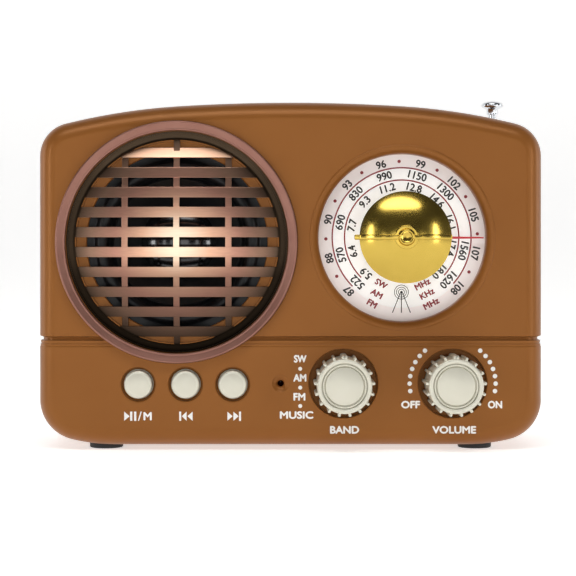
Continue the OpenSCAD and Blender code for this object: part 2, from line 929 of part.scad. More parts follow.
module push_button(i) {
    x = button_x + i * button_pitch;
    big = dome_radius(button_r, button_dome);
    intersection() {
        translate([x, -button_proud + big - button_dome, button_z]) sphere(r = big, $fn = 96);
        bar_y(x, button_z, -button_proud - button_dome - over, -button_proud, button_r);
    }
    bar_y(x, button_z, -button_proud, button_flange_y, button_r);
    bar_y(x, button_z, button_flange_y, button_flange_y + button_flange_t, button_flange_r);
    bar_y(x, button_z, button_flange_y, switch_y - plunger_h, button_stem_r);
}

module play_button() color(cream) in_case() push_button(0);

module previous_button() color(cream) in_case() push_button(1);

module next_button() color(cream) in_case() push_button(2);

module plunger(i) {
    bar_y(button_x + i * button_pitch, button_z, switch_y - plunger_h, switch_y + plunger_in, plunger_r);
}

module play_plunger() color(black) in_case() plunger(0);

module previous_plunger() color(black) in_case() plunger(1);

module next_plunger() color(black) in_case() plunger(2);

module button_switches() color("#3a3d42") in_case() {
    for (i = [0 : 2]) {
        x = button_x + i * button_pitch;
        difference() {
            block(
                [x - switch_w / 2, switch_y, button_z - switch_w / 2],
                [x + switch_w / 2, board_y, button_z + switch_w / 2]
            );
            bar_y(x, button_z, switch_y - over, switch_y + plunger_in + press_room, plunger_r + run_gap);
        }
    }
}

module status_lamp() color("#b23a2e") in_case() {
    bar_y(lamp_x, knob_z, board_y - lamp_flange_t, board_y, lamp_r + lamp_flange);
    bar_y(lamp_x, knob_z, board_y - lamp_l, board_y - lamp_flange_t, lamp_r);
    translate([lamp_x, board_y - lamp_l, knob_z]) sphere(r = lamp_r);
}

// ---------- electronics ----------

board_low = 8.6;
board_step_z = 22.6;
board_step_x = 3;
board_high = case_h - 13;

module main_board() color("#2d6b3c") in_case() {
    difference() {
        union() {
            block([board_left, board_y, board_low], [board_right, board_back, board_step_z]);
            block([board_step_x, board_y, board_low], [board_right, board_back, board_high]);
        }
        for (p = board_posts) bar_y(p[0], p[1], board_y - over, board_back + over, board_screw_r + seat_gap);
    }
}

module board_screws() color(steel) in_case() {
    for (p = board_posts) {
        bar_y(p[0], p[1], board_back, board_back + board_screw_head_h, board_screw_head_r);
        bar_y(p[0], p[1], board_y - board_screw_bite + over, board_back, board_screw_r);
    }
}

// Middle of each chip, sideways and up, and its width
chips = [[12, 60, 8], [30, 60, 10], [14, 40, 7]];
chip_t = 1.4;
// Middle of each capacitor, sideways and up, and its radius
capacitors = [[30, 44, 4], [40, 30, 3.2], [18, 28, 3.2]];
capacitor_slimness = 2.6;

module board_chips() color(black) in_case() {
    for (c = chips) {
        half = c[2] / 2;
        block([c[0] - half, board_back, c[1] - half], [c[0] + half, board_back + chip_t, c[1] + half]);
    }
}

module board_capacitors() color("#34507e") in_case() {
    for (c = capacitors) bar_y(c[0], c[1], board_back, board_back + capacitor_slimness * c[2], c[2]);
}

module headphone_jack() color(black) in_case() {
    face_x = case_w / 2;
    difference() {
        union() {
            block(
                [face_x - jack_l - port_floor, board_back, jack_z - jack_body_w / 2],
                [face_x - wall - seat_gap, board_back + jack_body_w, jack_z + jack_body_w / 2]
            );
            translate([face_x - wall - over, jack_y, jack_z]) rotate([0, 90, 0])
                cylinder(h = wall + over, r = jack_nose_r);
        }
        translate([face_x - jack_l, jack_y, jack_z]) rotate([0, 90, 0])
            cylinder(h = jack_l + over, r = jack_r);
    }
}

// Metal shell at the right wall, open to the right, seated on the back of the board
module port_shell(z, w, t, l, skin, cheek) {
    face_x = case_w / 2 - port_in;
    difference() {
        block([face_x - l, board_back, z - w / 2], [face_x, board_back + t, z + w / 2]);
        block(
            [face_x - l + port_floor, board_back + skin, z - w / 2 + cheek],
            [face_x + over, board_back + t - skin, z + w / 2 - cheek]
        );
    }
}

// Contact tongue inside a port, held in its back wall
module port_tongue(z, w, t, l, skin, tongue_t) {
    face_x = case_w / 2 - port_in;
    middle_y = board_back + t / 2;
    block(
        [face_x - l + port_floor - skin, middle_y - tongue_t / 2, z - w / 2 + 2 * skin],
        [face_x - port_floor, middle_y + tongue_t / 2, z + w / 2 - 2 * skin]
    );
}

module usb_socket() color(steel) in_case() {
    port_shell(usb_z, usb_w, usb_t, usb_l, usb_skin, usb_skin);
    port_tongue(usb_z, usb_w, usb_t, usb_l, usb_skin, usb_tongue_t);
}

module charge_socket() color(steel) in_case() {
    port_shell(charge_z, charge_w, charge_t, charge_l, thin_skin, thin_skin);
    port_tongue(charge_z, charge_w, charge_t, charge_l, thin_skin, charge_tongue_t);
}

module card_socket() color(steel) in_case() {
    port_shell(card_z, card_w, card_t, card_l, thin_skin, card_cheek);
}

module ferrite_rod() color("#3a3634") in_case() {
    translate([rod_x - rod_l / 2, rod_y, rod_z]) rotate([0, 90, 0]) cylinder(h = rod_l, r = rod_r);
}

coil_x = rod_x + 8;
coil_l = 12;
coil_t = 0.7;

module ferrite_coil() color("#b8652f") in_case() {
    translate([coil_x, rod_y, rod_z]) rotate([0, 90, 0]) difference() {
        cylinder(h = coil_l, r = rod_r + coil_t);
        translate([0, 0, -over]) cylinder(h = coil_l + 2 * over, r = rod_r);
    }
}

module battery() color("#c9ced3") in_case() {
    block(
        [bay_x - battery_w / 2, bay_front + bay_gap / 2, bay_z - battery_h / 2],
        [bay_x + battery_w / 2, bay_front + bay_gap / 2 + battery_t, bay_z + battery_h / 2]
    );
}

contact_pitch = 6;
contact_w = 2;
contact_d = 4;

module battery_contacts() color("#c9a24a") in_case() {
    for (i = [-1 : 1]) {
        z = bay_z + i * contact_pitch;
        block(
            [bay_x + battery_w / 2, bay_front, z - contact_w / 2],
            [bay_x + bay_hw, bay_front + contact_d, z + contact_w / 2]
        );
    }
}

// ---------- antenna ----------

pin_r = 1;
knuckle_r = 2.4;
knuckle_w = 2.6;
ear_t = 1.5;
ear_gap = 0.2;
knuckle_neck = 4.5;
base_tube_low = hinge_z + knuckle_neck + 0.5;
tube_step = 1;
tip_rod_r = antenna_r - 4 * (tube_wall + tube_gap);
collar_r = 1.55;
collar_h = 1.4;
cap_r = 2.95;
cap_h = 2.3;
tip_rod_top = case_h + tip_above - cap_h - collar_h;
tip_rod_shown = 7;
base_tube_top = tip_rod_top - tip_rod_shown;
tube_seat = 1.5;
tube_plug = 1;
bracket_back = case_d - 0.6;
bracket_rise = 2.2;

module antenna_bracket() color(steel) in_case() {
    difference() {
        union() {
            for (s = [-1, 1]) {
                inner = knuckle_w / 2 + ear_gap;
                block(
                    [antenna_x + (s < 0 ? -inner - ear_t : inner), channel_front, channel_floor],
                    [antenna_x + (s < 0 ? -inner : inner + ear_t), bracket_back, hinge_z + bracket_rise]
                );
            }
            block(
                [antenna_x - knuckle_w / 2 - ear_gap - ear_t, channel_front, channel_floor],
                [antenna_x + knuckle_w / 2 + ear_gap + ear_t, bracket_back, channel_floor + ear_t]
            );
        }
        antenna_pin_bar(pin_r);
    }
}

module antenna_pin_bar(r) {
    w = knuckle_w / 2 + ear_gap + ear_t;
    translate([antenna_x - w, antenna_y, hinge_z]) rotate([0, 90, 0]) cylinder(h = 2 * w, r = r);
}

module antenna_pin() color(steel) in_case() antenna_pin_bar(pin_r);

// Outer radius of each tube, counted from the widest
function tube_r(i) = antenna_r - i * (tube_wall + tube_gap);

module tube(i, low, high) {
    translate([antenna_x, antenna_y, low]) difference() {
        cylinder(h = high - low, r = tube_r(i));
        translate([0, 0, -over]) cylinder(h = high - low + 2 * over, r = tube_r(i) - tube_wall);
    }
}

module antenna_base_tube() color(steel) in_case() {
    tube(0, base_tube_low, base_tube_top);
    difference() {
        union() {
            translate([antenna_x - knuckle_w / 2, antenna_y, hinge_z]) rotate([0, 90, 0])
                cylinder(h = knuckle_w, r = knuckle_r);
            block(
                [antenna_x - knuckle_w / 2, antenna_y - knuckle_r, hinge_z],
                [antenna_x + knuckle_w / 2, antenna_y + knuckle_r, hinge_z + knuckle_neck]
            );
            translate([antenna_x, antenna_y, base_tube_low - tube_plug])
                cylinder(h = 2 * tube_plug, r = tube_r(0));
        }
        antenna_pin_bar(pin_r + run_gap);
    }
}

// Inner tube, counted from the widest; each shows one step more of its top
module inner_tube(i) {
    tube(i, base_tube_low + tube_seat, base_tube_top + i * tube_step);
}

module antenna_tube_2() color(steel) in_case() inner_tube(1);

module antenna_tube_3() color(steel) in_case() inner_tube(2);

module antenna_tube_4() color(steel) in_case() inner_tube(3);

module antenna_tip() color(steel) in_case() {
    translate([antenna_x, antenna_y, 0]) {
        tip_rod_low = base_tube_low + tube_seat;
        translate([0, 0, tip_rod_low]) cylinder(h = tip_rod_top - tip_rod_low, r = tip_rod_r);
        translate([0, 0, tip_rod_top]) cylinder(h = collar_h, r = collar_r);
        translate([0, 0, tip_rod_top + collar_h]) cylinder(h = cap_h, r = cap_r);
    }
}

front_shell();
rear_shell();
rubber_feet();
case_screws();
battery_door();
speaker_ring();
speaker_grille();
speaker_basket();
speaker_magnet();
speaker_cone();
speaker_dust_cap();
speaker_screws();
dial_plate();
tuning_knob();
dial_pointer();
tuning_shaft();
tuning_capacitor();
band_knob();
band_shaft();
band_switch();
volume_knob();
volume_shaft();
volume_control();
play_button();
previous_button();
next_button();
play_plunger();
previous_plunger();
next_plunger();
button_switches();
status_lamp();
main_board();
board_screws();
board_chips();
board_capacitors();
headphone_jack();
usb_socket();
charge_socket();
card_socket();
ferrite_rod();
ferrite_coil();
battery();
battery_contacts();
antenna_bracket();
antenna_pin();
antenna_base_tube();
antenna_tube_2();
antenna_tube_3();
antenna_tube_4();
antenna_tip();
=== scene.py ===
# %% [markdown]
# # A small table radio
# The radio's working model is loaded first and stays as it is. It holds every part at its real size
# and place, so all the pieces made here are placed from it. The visible pieces are then modelled
# again with softer edges, real thickness and printed lettering, and each gets a material named for
# what the real piece is made of.

# %% Load the working model
import json
import math

import bpy
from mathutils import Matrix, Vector

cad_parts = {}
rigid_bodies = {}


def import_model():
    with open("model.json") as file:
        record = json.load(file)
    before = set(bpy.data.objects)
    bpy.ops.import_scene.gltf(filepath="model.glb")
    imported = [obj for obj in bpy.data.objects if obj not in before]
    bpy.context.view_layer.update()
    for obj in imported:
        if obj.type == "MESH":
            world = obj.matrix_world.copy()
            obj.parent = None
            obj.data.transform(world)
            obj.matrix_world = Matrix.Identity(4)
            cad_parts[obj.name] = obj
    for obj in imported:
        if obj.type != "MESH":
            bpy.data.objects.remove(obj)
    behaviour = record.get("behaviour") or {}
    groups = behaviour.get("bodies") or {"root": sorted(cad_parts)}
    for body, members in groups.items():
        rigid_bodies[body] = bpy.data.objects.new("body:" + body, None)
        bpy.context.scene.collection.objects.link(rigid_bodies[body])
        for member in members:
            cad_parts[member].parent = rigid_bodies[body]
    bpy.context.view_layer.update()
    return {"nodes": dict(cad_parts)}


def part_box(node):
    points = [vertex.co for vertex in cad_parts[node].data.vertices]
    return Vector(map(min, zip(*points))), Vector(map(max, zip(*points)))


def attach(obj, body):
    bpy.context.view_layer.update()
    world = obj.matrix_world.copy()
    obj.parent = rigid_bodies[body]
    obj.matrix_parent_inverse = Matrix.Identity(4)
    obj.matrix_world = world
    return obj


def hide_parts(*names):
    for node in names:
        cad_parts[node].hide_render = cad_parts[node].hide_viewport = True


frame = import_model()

MM = 0.001
print("parts in the working model:", len(frame["nodes"]))

# %% [markdown]
# ## Measuring from the working model
# All sizes below are in millimetres, counted as a maker would: sideways from the middle of the
# case, back from its front face, and up from its underside. `at` turns such a place into Blender's
# metres. The centres of the round features are read off the parts that sit in them.

# %% Places read from the model
case_low, case_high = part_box("front_shell")
rear_low, rear_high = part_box("rear_shell")
FRONT = case_low.y
UNDERSIDE = case_low.z
CASE_W = (case_high.x - case_low.x) / MM
CASE_H = (case_high.z - case_low.z) / MM
PART_Y = (case_high.y - FRONT) / MM
CASE_D = (rear_high.y - FRONT) / MM


def at(x, y, z):
    return Vector((x * MM, FRONT + y * MM, UNDERSIDE + z * MM))


def middle(node):
    low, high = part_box(node)
    place = (low + high) / 2
    return place.x / MM, (place.z - UNDERSIDE) / MM


def depth_of(node):
    low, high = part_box(node)
    return (low.y - FRONT) / MM, (high.y - FRONT) / MM


SPEAKER = middle("speaker_ring")
DIAL = middle("dial_plate")
BAND = middle("band_shaft")
VOLUME = middle("volume_shaft")
BUTTONS = [middle(name) for name in ("play_button", "previous_button", "next_button")]
LAMP = middle("status_lamp")
print("case", round(CASE_W, 1), "x", round(CASE_D, 1), "x", round(CASE_H, 1), "mm")

# %% [markdown]
# ## Small helpers for modelling
# These wrap the steps that every piece repeats: selecting by place, turning a profile round an
# axis as on a lathe, making a block, and cutting one shape with another. A turned piece starts as
# one vertex that is extruded along its profile and then spun, because that gives clean rings that
# shade smoothly.

# %% Selecting
def alone(obj):
    bpy.ops.object.select_all(action="DESELECT")
    obj.select_set(True)
    bpy.context.view_layer.objects.active = obj


def edit(obj, mode="VERT"):
    alone(obj)
    bpy.ops.object.mode_set(mode="EDIT")
    bpy.ops.mesh.select_mode(type=mode)


def done():
    bpy.ops.object.mode_set(mode="OBJECT")


def choose(obj, test, kind="vertices"):
    """Select the vertices, edges or faces of obj whose every corner passes test."""
    done()
    mesh = obj.data
    for part in (mesh.vertices, mesh.edges, mesh.polygons):
        part.foreach_set("select", [False] * len(part))
    passed = [test(vertex.co) for vertex in mesh.vertices]
    if kind == "vertices":
        mesh.vertices.foreach_set("select", passed)
    elif kind == "edges":
        mesh.edges.foreach_set("select", [all(passed[v] for v in edge.vertices) for edge in mesh.edges])
    else:
        mesh.polygons.foreach_set("select", [all(passed[v] for v in face.vertices) for face in mesh.polygons])
    edit(obj, {"vertices": "VERT", "edges": "EDGE", "faces": "FACE"}[kind])


# %% Lathe, block and cutting
def turned(name, profile, centre=(0, 0), steps=96, up=False):
    """Spin (radius, depth) points in mm about a front-to-back line, or an upright one."""
    deselect = bpy.ops.object.select_all
    deselect(action="DESELECT")
    bpy.ops.mesh.primitive_plane_add(size=MM, location=(0, 0, 0))
    obj = bpy.context.object
    obj.name = name
    edit(obj)
    bpy.ops.mesh.select_all(action="SELECT")
    bpy.ops.mesh.merge(type="CENTER")
    start = at(centre[0], 0, centre[1]) if not up else at(centre[0], centre[1], 0)
    rise = Vector((0, 0, 1)) if up else Vector((0, 1, 0))
    last = Vector((0, 0, 0))
    for number, (radius, depth) in enumerate(profile):
        point = start + Vector((radius * MM, 0, 0)) + rise * depth * MM
        if number == 0:
            bpy.ops.transform.translate(value=point - last)
        else:
            bpy.ops.mesh.extrude_region_move(TRANSFORM_OT_translate={"value": point - last})
        last = point
    bpy.ops.mesh.select_all(action="SELECT")
    bpy.ops.mesh.spin(steps=steps, angle=2 * math.pi, center=start, axis=rise)
    bpy.ops.mesh.select_all(action="SELECT")
    bpy.ops.mesh.remove_doubles(threshold=0.002 * MM)
    bpy.ops.mesh.normals_make_consistent(inside=False)
    done()
    return obj


def arc(centre, radius, start, stop, steps):
    """Points of an arc, with both ends, as (radius, depth) pairs."""
    angles = [math.radians(start + (stop - start) * i / steps) for i in range(steps + 1)]
    return [(centre[0] + radius * math.cos(a), centre[1] + radius * math.sin(a)) for a in angles]


def block(name, low, high):
    """A box between two corners given in mm."""
    bpy.ops.object.select_all(action="DESELECT")
    low, high = at(*low), at(*high)
    bpy.ops.mesh.primitive_cube_add(size=1, location=(low + high) / 2)
    obj = bpy.context.object
    obj.name = name
    obj.scale = high - low
    bpy.ops.object.transform_apply(location=True, rotation=True, scale=True)
    return obj


def combine(obj, other, operation):
    """Join or cut obj with other, which is used up."""
    alone(obj)
    modifier = obj.modifiers.new("shape", "BOOLEAN")
    modifier.operation = operation
    modifier.solver = "EXACT"
    modifier.object = other
    bpy.ops.object.modifier_apply(modifier=modifier.name)
    bpy.data.objects.remove(other, do_unlink=True)


def cut(obj, other):
    combine(obj, other, "DIFFERENCE")


def add_on(obj, other):
    combine(obj, other, "UNION")


def soften(obj, width, segments=2, angle=35):
    """Round the sharp edges of a piece by a width in mm."""
    alone(obj)
    modifier = obj.modifiers.new("soft edges", "BEVEL")
    modifier.width = width * MM
    modifier.segments = segments
    modifier.limit_method = "ANGLE"
    modifier.angle_limit = math.radians(angle)
    modifier.use_clamp_overlap = True
    bpy.ops.object.modifier_apply(modifier=modifier.name)


def shade(obj, angle=35, flat_first=True):
    """Shade smoothly across shallow edges, and let large flat faces stay flat."""
    alone(obj)
    bpy.ops.object.shade_smooth_by_angle(angle=math.radians(angle))
    if flat_first:
        modifier = obj.modifiers.new("flat faces first", "WEIGHTED_NORMAL")
        modifier.keep_sharp = True
        bpy.ops.object.modifier_apply(modifier=modifier.name)


def join(name, objs):
    """Make one object of several."""
    bpy.ops.object.select_all(action="DESELECT")
    for obj in objs:
        obj.select_set(True)
    bpy.context.view_layer.objects.active = objs[0]
    bpy.ops.object.join()
    bpy.context.object.name = name
    return bpy.context.object


made = []


def settle(obj, body, material, slot, *nodes):
    """Give a finished piece its material, the body it rides on and the parts it stands for."""
    obj.data.materials.clear()
    obj.data.materials.append(material)
    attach(obj, body)
    if nodes:
        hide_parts(*nodes)
    made.append(obj)
    print(obj.name, len(obj.data.polygons), "faces")
    return obj


# %% [markdown]
# ## Materials
# Every material starts from what the real surface is. The helper `node` adds one shader node with
# its settings and links, and `colour` turns an sRGB hex value into the linear colour that the
# shader works in. Patterns are sized in millimetres.

# %% Shader helpers
def colour(hex_value, alpha=1.0):
    channels = [int(hex_value[i:i + 2], 16) / 255 for i in (1, 3, 5)]
    linear = [c / 12.92 if c <= 0.04045 else ((c + 0.055) / 1.055) ** 2.4 for c in channels]
    return (*linear, alpha)


def node(tree, kind, links=None, **settings):
    """Add a node; settings are attributes or input values, links say what feeds an input."""
    made_node = tree.nodes.new("ShaderNode" + kind)
    for name, value in settings.items():
        if hasattr(made_node, name):
            setattr(made_node, name, value)
        else:
            made_node.inputs[name.replace("_", " ")].default_value = value
    for name, source in (links or {}).items():
        key = name if isinstance(name, int) else name.replace("_", " ")
        tree.links.new(source, made_node.inputs[key])
    return made_node


def surface(name, hex_value, roughness, **settings):
    """A new material with one principled shader, its colour and its gloss."""
    material = bpy.data.materials.new(name)
    material.use_nodes = True
    tree = material.node_tree
    shader = tree.nodes["Principled BSDF"]
    shader.inputs["Base Color"].default_value = colour(hex_value)
    shader.inputs["Roughness"].default_value = roughness
    for key, value in settings.items():
        shader.inputs[key.replace("_", " ")].default_value = value
    place = node(tree, "TexCoord").outputs["Object"]
    return material, tree, shader, place


def per_mm(size):
    """Noise scale that gives one cell per size in mm."""
    return 1 / (size * MM)


def mottle(tree, shader, place, dark, light, size, detail=3.0):
    """Vary the colour between two shades in soft patches of a size in mm."""
    patches = node(tree, "TexNoise", {"Vector": place}, Scale=per_mm(size), Detail=detail)
    mix = node(tree, "Mix", {0: patches.outputs["Fac"]}, data_type="RGBA")
    mix.inputs[6].default_value = colour(dark)
    mix.inputs[7].default_value = colour(light)
    tree.links.new(mix.outputs[2], shader.inputs["Base Color"])
    return mix


def uneven_gloss(tree, shader, place, low, high, size):
    """Vary the roughness between two values in patches of a size in mm."""
    patches = node(tree, "TexNoise", {"Vector": place}, Scale=per_mm(size), Detail=4.0)
    span = node(tree, "MapRange", {"Value": patches.outputs["Fac"]}, To_Min=low, To_Max=high)
    tree.links.new(span.outputs["Result"], shader.inputs["Roughness"])


def grain(tree, shader, place, size, depth, strength=1.0, stretch=(1, 1, 1)):
    """A fine relief of a cell size and depth in mm, stretched along an axis if wanted."""
    mapped = node(tree, "Mapping", {"Vector": place}, Scale=stretch)
    cells = node(tree, "TexNoise", {"Vector": mapped.outputs["Vector"]}, Scale=per_mm(size), Detail=2.0)
    bump = node(tree, "Bump", {"Height": cells.outputs["Fac"]}, Strength=strength, Distance=depth * MM)
    tree.links.new(bump.outputs["Normal"], shader.inputs["Normal"])
    return bump


# %% Materials of the case and its trim
def moulded_abs_brown():
    # Injection-moulded ABS: satin, with a very fine spark-eroded grain and faint flow patches.
    material, tree, shader, place = surface("moulded_abs_brown", "#855225", 0.32, Specular_IOR_Level=0.8)
    shader.inputs["Specular Tint"].default_value = colour("#f4b27c")
    mottle(tree, shader, place, "#7f4d22", "#875528", 14)
    uneven_gloss(tree, shader, place, 0.29, 0.36, 3)
    grain(tree, shader, place, 0.35, 0.01, 0.3)
    return material


def copper_tinted_plating():
    # Vacuum-metallised plastic under a rose-brown lacquer.
    material, tree, shader, place = surface("copper_tinted_plating", "#93675a", 0.4, Metallic=0.8)
    mottle(tree, shader, place, "#8c6054", "#9a7062", 5)
    grain(tree, shader, place, 0.3, 0.008, 0.3)
    return material


def copper_grille_painted_reflection():
    # Copper plating whose colour carries a painted reflection: bright on the crown of the dome, dark at the rim,
    # and lighter towards the top. Fine streaks from the brush run sideways.
    material, tree, shader, place = surface("copper_grille_painted_reflection", "#b98a74", 0.3, Metallic=1.0)
    centre = at(SPEAKER[0], 0, SPEAKER[1])
    reach = FIELD_R * MM
    flat = node(
        tree, "Mapping", {"Vector": place}, vector_type="TEXTURE",
        Location=(centre.x, 0, centre.z), Scale=(reach, 1000, reach),
    )
    # Painted reflection: the colour is bright on the crown and dark at the rim, by distance from the centre.
    radius = node(tree, "VectorMath", {0: flat.outputs["Vector"]}, operation="LENGTH")
    painted_reflection_ramp = node(tree, "ValToRGB", {"Fac": radius.outputs["Value"]})
    stops = painted_reflection_ramp.color_ramp.elements
    stops[0].position, stops[0].color = 0.1, colour("#fbe0c4")
    stops[1].position, stops[1].color = 1.0, colour("#33291f")
    for place_on_ramp, shade_there in ((0.34, "#e6b597"), (0.6, "#c4907c"), (0.84, "#9a7864"), (0.985, "#5d4b3d")):
        stop = stops.new(place_on_ramp)
        stop.color = colour(shade_there)
    streaks = node(tree, "Mapping", {"Vector": place}, Scale=(0.04, 1, 1))
    brushed = node(tree, "TexNoise", {"Vector": streaks.outputs["Vector"]}, Scale=per_mm(0.3), Detail=4.0)
    tone = node(tree, "MapRange", {"Value": brushed.outputs["Fac"]}, To_Min=1.7, To_Max=2.2)
    # Painted highlight and shade: the colour is lighter towards the top of the grille and darker towards the bottom.
    height = node(tree, "SeparateXYZ", {"Vector": flat.outputs["Vector"]})
    up = node(tree, "MapRange", {"Value": height.outputs["Z"]}, From_Min=-1.0, From_Max=1.0)
    painted_row_sheen = node(tree, "ValToRGB", {"Fac": up.outputs["Result"]})
    row_sheen_stops = painted_row_sheen.color_ramp.elements
    row_sheen_stops[0].position, row_sheen_stops[0].color = 0.05, (0.13, 0.13, 0.13, 1)
    row_sheen_stops[1].position, row_sheen_stops[1].color = 0.9, (0.85, 0.85, 0.85, 1)
    for level, share in ((0.33, 0.24), (0.44, 0.5), (0.62, 0.5), (0.8, 0.6)):
        row_sheen_stops.new(level).color = (share, share, share, 1)
    painted_light_colour = node(tree, "VectorMath", {0: painted_reflection_ramp.outputs["Color"], 1: painted_row_sheen.outputs["Color"]}, operation="MULTIPLY")
    shaded = node(
        tree, "VectorMath", {0: painted_light_colour.outputs["Vector"], "Scale": tone.outputs["Result"]}, operation="SCALE"
    )
    tree.links.new(shaded.outputs["Vector"], shader.inputs["Base Color"])
    grain(tree, shader, place, 0.25, 0.012, 0.4, stretch=(0.04, 1, 1))
    return material


def pearl_lacquered_cream():
    # Cream ABS under a pearl lacquer, so it mirrors its surroundings a little, as satin metal does.
    material, tree, shader, place = surface("pearl_lacquered_cream", "#d8d5c4", 0.42, Metallic=0.4)
    mottle(tree, shader, place, "#d4d1bf", "#dcd9ca", 4)
    uneven_gloss(tree, shader, place, 0.34, 0.42, 2)
    grain(tree, shader, place, 0.5, 0.006, 0.25)
    return material


def gold_plating():
    # Electroplated gold on polished plastic: a mirror with very slight waviness.
    material, tree, shader, place = surface("gold_plating", "#c8aa4e", 0.18, Metallic=1.0)
    mottle(tree, shader, place, "#c4a64a", "#ccae53", 3)
    uneven_gloss(tree, shader, place, 0.16, 0.22, 1.5)
    grain(tree, shader, place, 2.5, 0.01, 0.2)
    return material


def printed_dial_card():
    # Satin printed plate: white under the scales, a pinkish grey in the outermost ring. It also glows
    # faintly with painted light, which brightens the plate.
    material, tree, shader, place = surface("printed_dial_card", "#f4efec", 0.5, IOR=1.5)
    flat = node(
        tree, "Mapping", {"Vector": place}, vector_type="TEXTURE",
        Location=at(DIAL[0], 0, DIAL[1]), Scale=(1, 1000, 1),
    )
    radius = node(tree, "VectorMath", {0: flat.outputs["Vector"]}, operation="LENGTH")
    ring = node(
        tree, "MapRange", {"Value": radius.outputs["Value"]}, From_Min=17.2 * MM, From_Max=17.8 * MM
    )
    tint = node(tree, "ValToRGB", {"Fac": ring.outputs["Result"]})
    tint.color_ramp.elements[0].color = colour("#fffdfb")
    tint.color_ramp.elements[1].color = colour("#f2e9e7")
    for socket in ("Base Color", "Emission Color"):
        tree.links.new(tint.outputs["Color"], shader.inputs[socket])
    # Painted light: the plate glows a little though it is no lamp.
    shader.inputs["Emission Strength"].default_value = 0.14
    grain(tree, shader, place, 0.25, 0.008, 0.3)
    return material


def printing_ink(name, dark, light):
    # Screen-printed ink: dense, a little uneven where the mesh left it thinner.
    material, tree, shader, place = surface(name, light, 0.55)
    mottle(tree, shader, place, dark, light, 0.4)
    grain(tree, shader, place, 0.15, 0.004, 0.3)
    return material


def lacquered_needle_red():
    material, tree, shader, place = surface("lacquered_needle_red", "#c8202a", 0.3, Coat_Weight=0.4)
    mottle(tree, shader, place, "#c01c26", "#d0262f", 1)
    grain(tree, shader, place, 0.3, 0.005, 0.3)
    return material


def nitrile_rubber_black():
    material, tree, shader, place = surface("nitrile_rubber_black", "#1a1a1c", 0.6, IOR=1.52)
    mottle(tree, shader, place, "#161618", "#222225", 0.8)
    grain(tree, shader, place, 0.2, 0.03, 0.5)
    return material


def chromed_brass_tube():
    # Drawn tube, plated: mirror bright with faint lengthwise draw lines.
    material, tree, shader, place = surface("chromed_brass_tube", "#d4d6d9", 0.12, Metallic=1.0)
    mottle(tree, shader, place, "#cdd0d3", "#dcdee1", 2)
    grain(tree, shader, place, 0.15, 0.006, 0.3, stretch=(1, 1, 0.03))
    return material


def zinc_plated_steel():
    material, tree, shader, place = surface("zinc_plated_steel", "#aeb2b6", 0.35, Metallic=1.0)
    mottle(tree, shader, place, "#a2a7ac", "#babec2", 0.7)
    grain(tree, shader, place, 0.12, 0.01, 0.4)
    return material


# %% Materials inside
def pressed_paper_black():
    # Speaker cone: pressed paper fibre, matt and slightly uneven.
    material, tree, shader, place = surface("pressed_paper_black", "#0a0b0d", 0.4, Specular_IOR_Level=0.3)
    mottle(tree, shader, place, "#08090a", "#121316", 0.9)
    grain(tree, shader, place, 0.25, 0.02, 0.4)
    return material


def glossy_dust_cap():
    material, tree, shader, place = surface("glossy_dust_cap", "#0e0e10", 0.15, Coat_Weight=0.5)
    mottle(tree, shader, place, "#0b0b0d", "#141416", 1)
    grain(tree, shader, place, 0.4, 0.01, 0.2)
    return material


def black_lacquered_steel():
    # Pressed steel basket under black lacquer, satin, a little uneven at the edges.
    material, tree, shader, place = surface("black_lacquered_steel", "#141416", 0.35)
    mottle(tree, shader, place, "#101012", "#1c1c1f", 2)
    grain(tree, shader, place, 0.3, 0.01, 0.3)
    return material


def moulded_nylon_black():
    material, tree, shader, place = surface("moulded_nylon_black", "#1c1c1f", 0.45)
    mottle(tree, shader, place, "#18181a", "#232326", 1)
    grain(tree, shader, place, 0.2, 0.015, 0.4)
    return material


def solder_mask_green():
    # Glass-epoxy board under green lacquer, with the weave just showing.
    material, tree, shader, place = surface("solder_mask_green", "#1f5a33", 0.3)
    mottle(tree, shader, place, "#1a4f2c", "#27693c", 2)
    grain(tree, shader, place, 0.4, 0.01, 0.4)
    return material


def component_sleeve_blue():
    material, tree, shader, place = surface("component_sleeve_blue", "#2b4675", 0.35)
    mottle(tree, shader, place, "#253f6b", "#33507f", 1.5)
    grain(tree, shader, place, 0.4, 0.01, 0.3)
    return material


def sintered_ferrite():
    material, tree, shader, place = surface("sintered_ferrite", "#343130", 0.55)
    mottle(tree, shader, place, "#2b2928", "#403c3a", 0.6)
    grain(tree, shader, place, 0.15, 0.02, 0.6)
    return material


def enamelled_copper_wire():
    # Close-wound wire: the turns show as fine bands along the rod.
    material, tree, shader, place = surface("enamelled_copper_wire", "#a95c28", 0.3, Metallic=0.8)
    turns = node(tree, "TexWave", {"Vector": place}, Scale=per_mm(0.35) / (2 * math.pi), Distortion=0.2)
    bump = node(tree, "Bump", {"Height": turns.outputs["Fac"]}, Strength=0.8, Distance=0.1 * MM)
    tree.links.new(bump.outputs["Normal"], shader.inputs["Normal"])
    mottle(tree, shader, place, "#9a5123", "#b86a32", 0.5)
    return material


def foil_wrapped_cell():
    material, tree, shader, place = surface("foil_wrapped_cell", "#b9bec4", 0.4, Metallic=0.7)
    mottle(tree, shader, place, "#adb3ba", "#c6cad0", 6)
    grain(tree, shader, place, 1.5, 0.02, 0.3)
    return material


def gilt_contact_strip():
    material, tree, shader, place = surface("gilt_contact_strip", "#c9a24a", 0.28, Metallic=1.0)
    mottle(tree, shader, place, "#bf983f", "#d4ae58", 0.6)
    grain(tree, shader, place, 0.2, 0.01, 0.3)
    return material


def lamp_epoxy_red():
    material, tree, shader, place = surface("lamp_epoxy_red", "#5a1512", 0.15, Transmission_Weight=0.4)
    mottle(tree, shader, place, "#4d100e", "#6a1b17", 0.8)
    grain(tree, shader, place, 0.5, 0.005, 0.2)
    return material


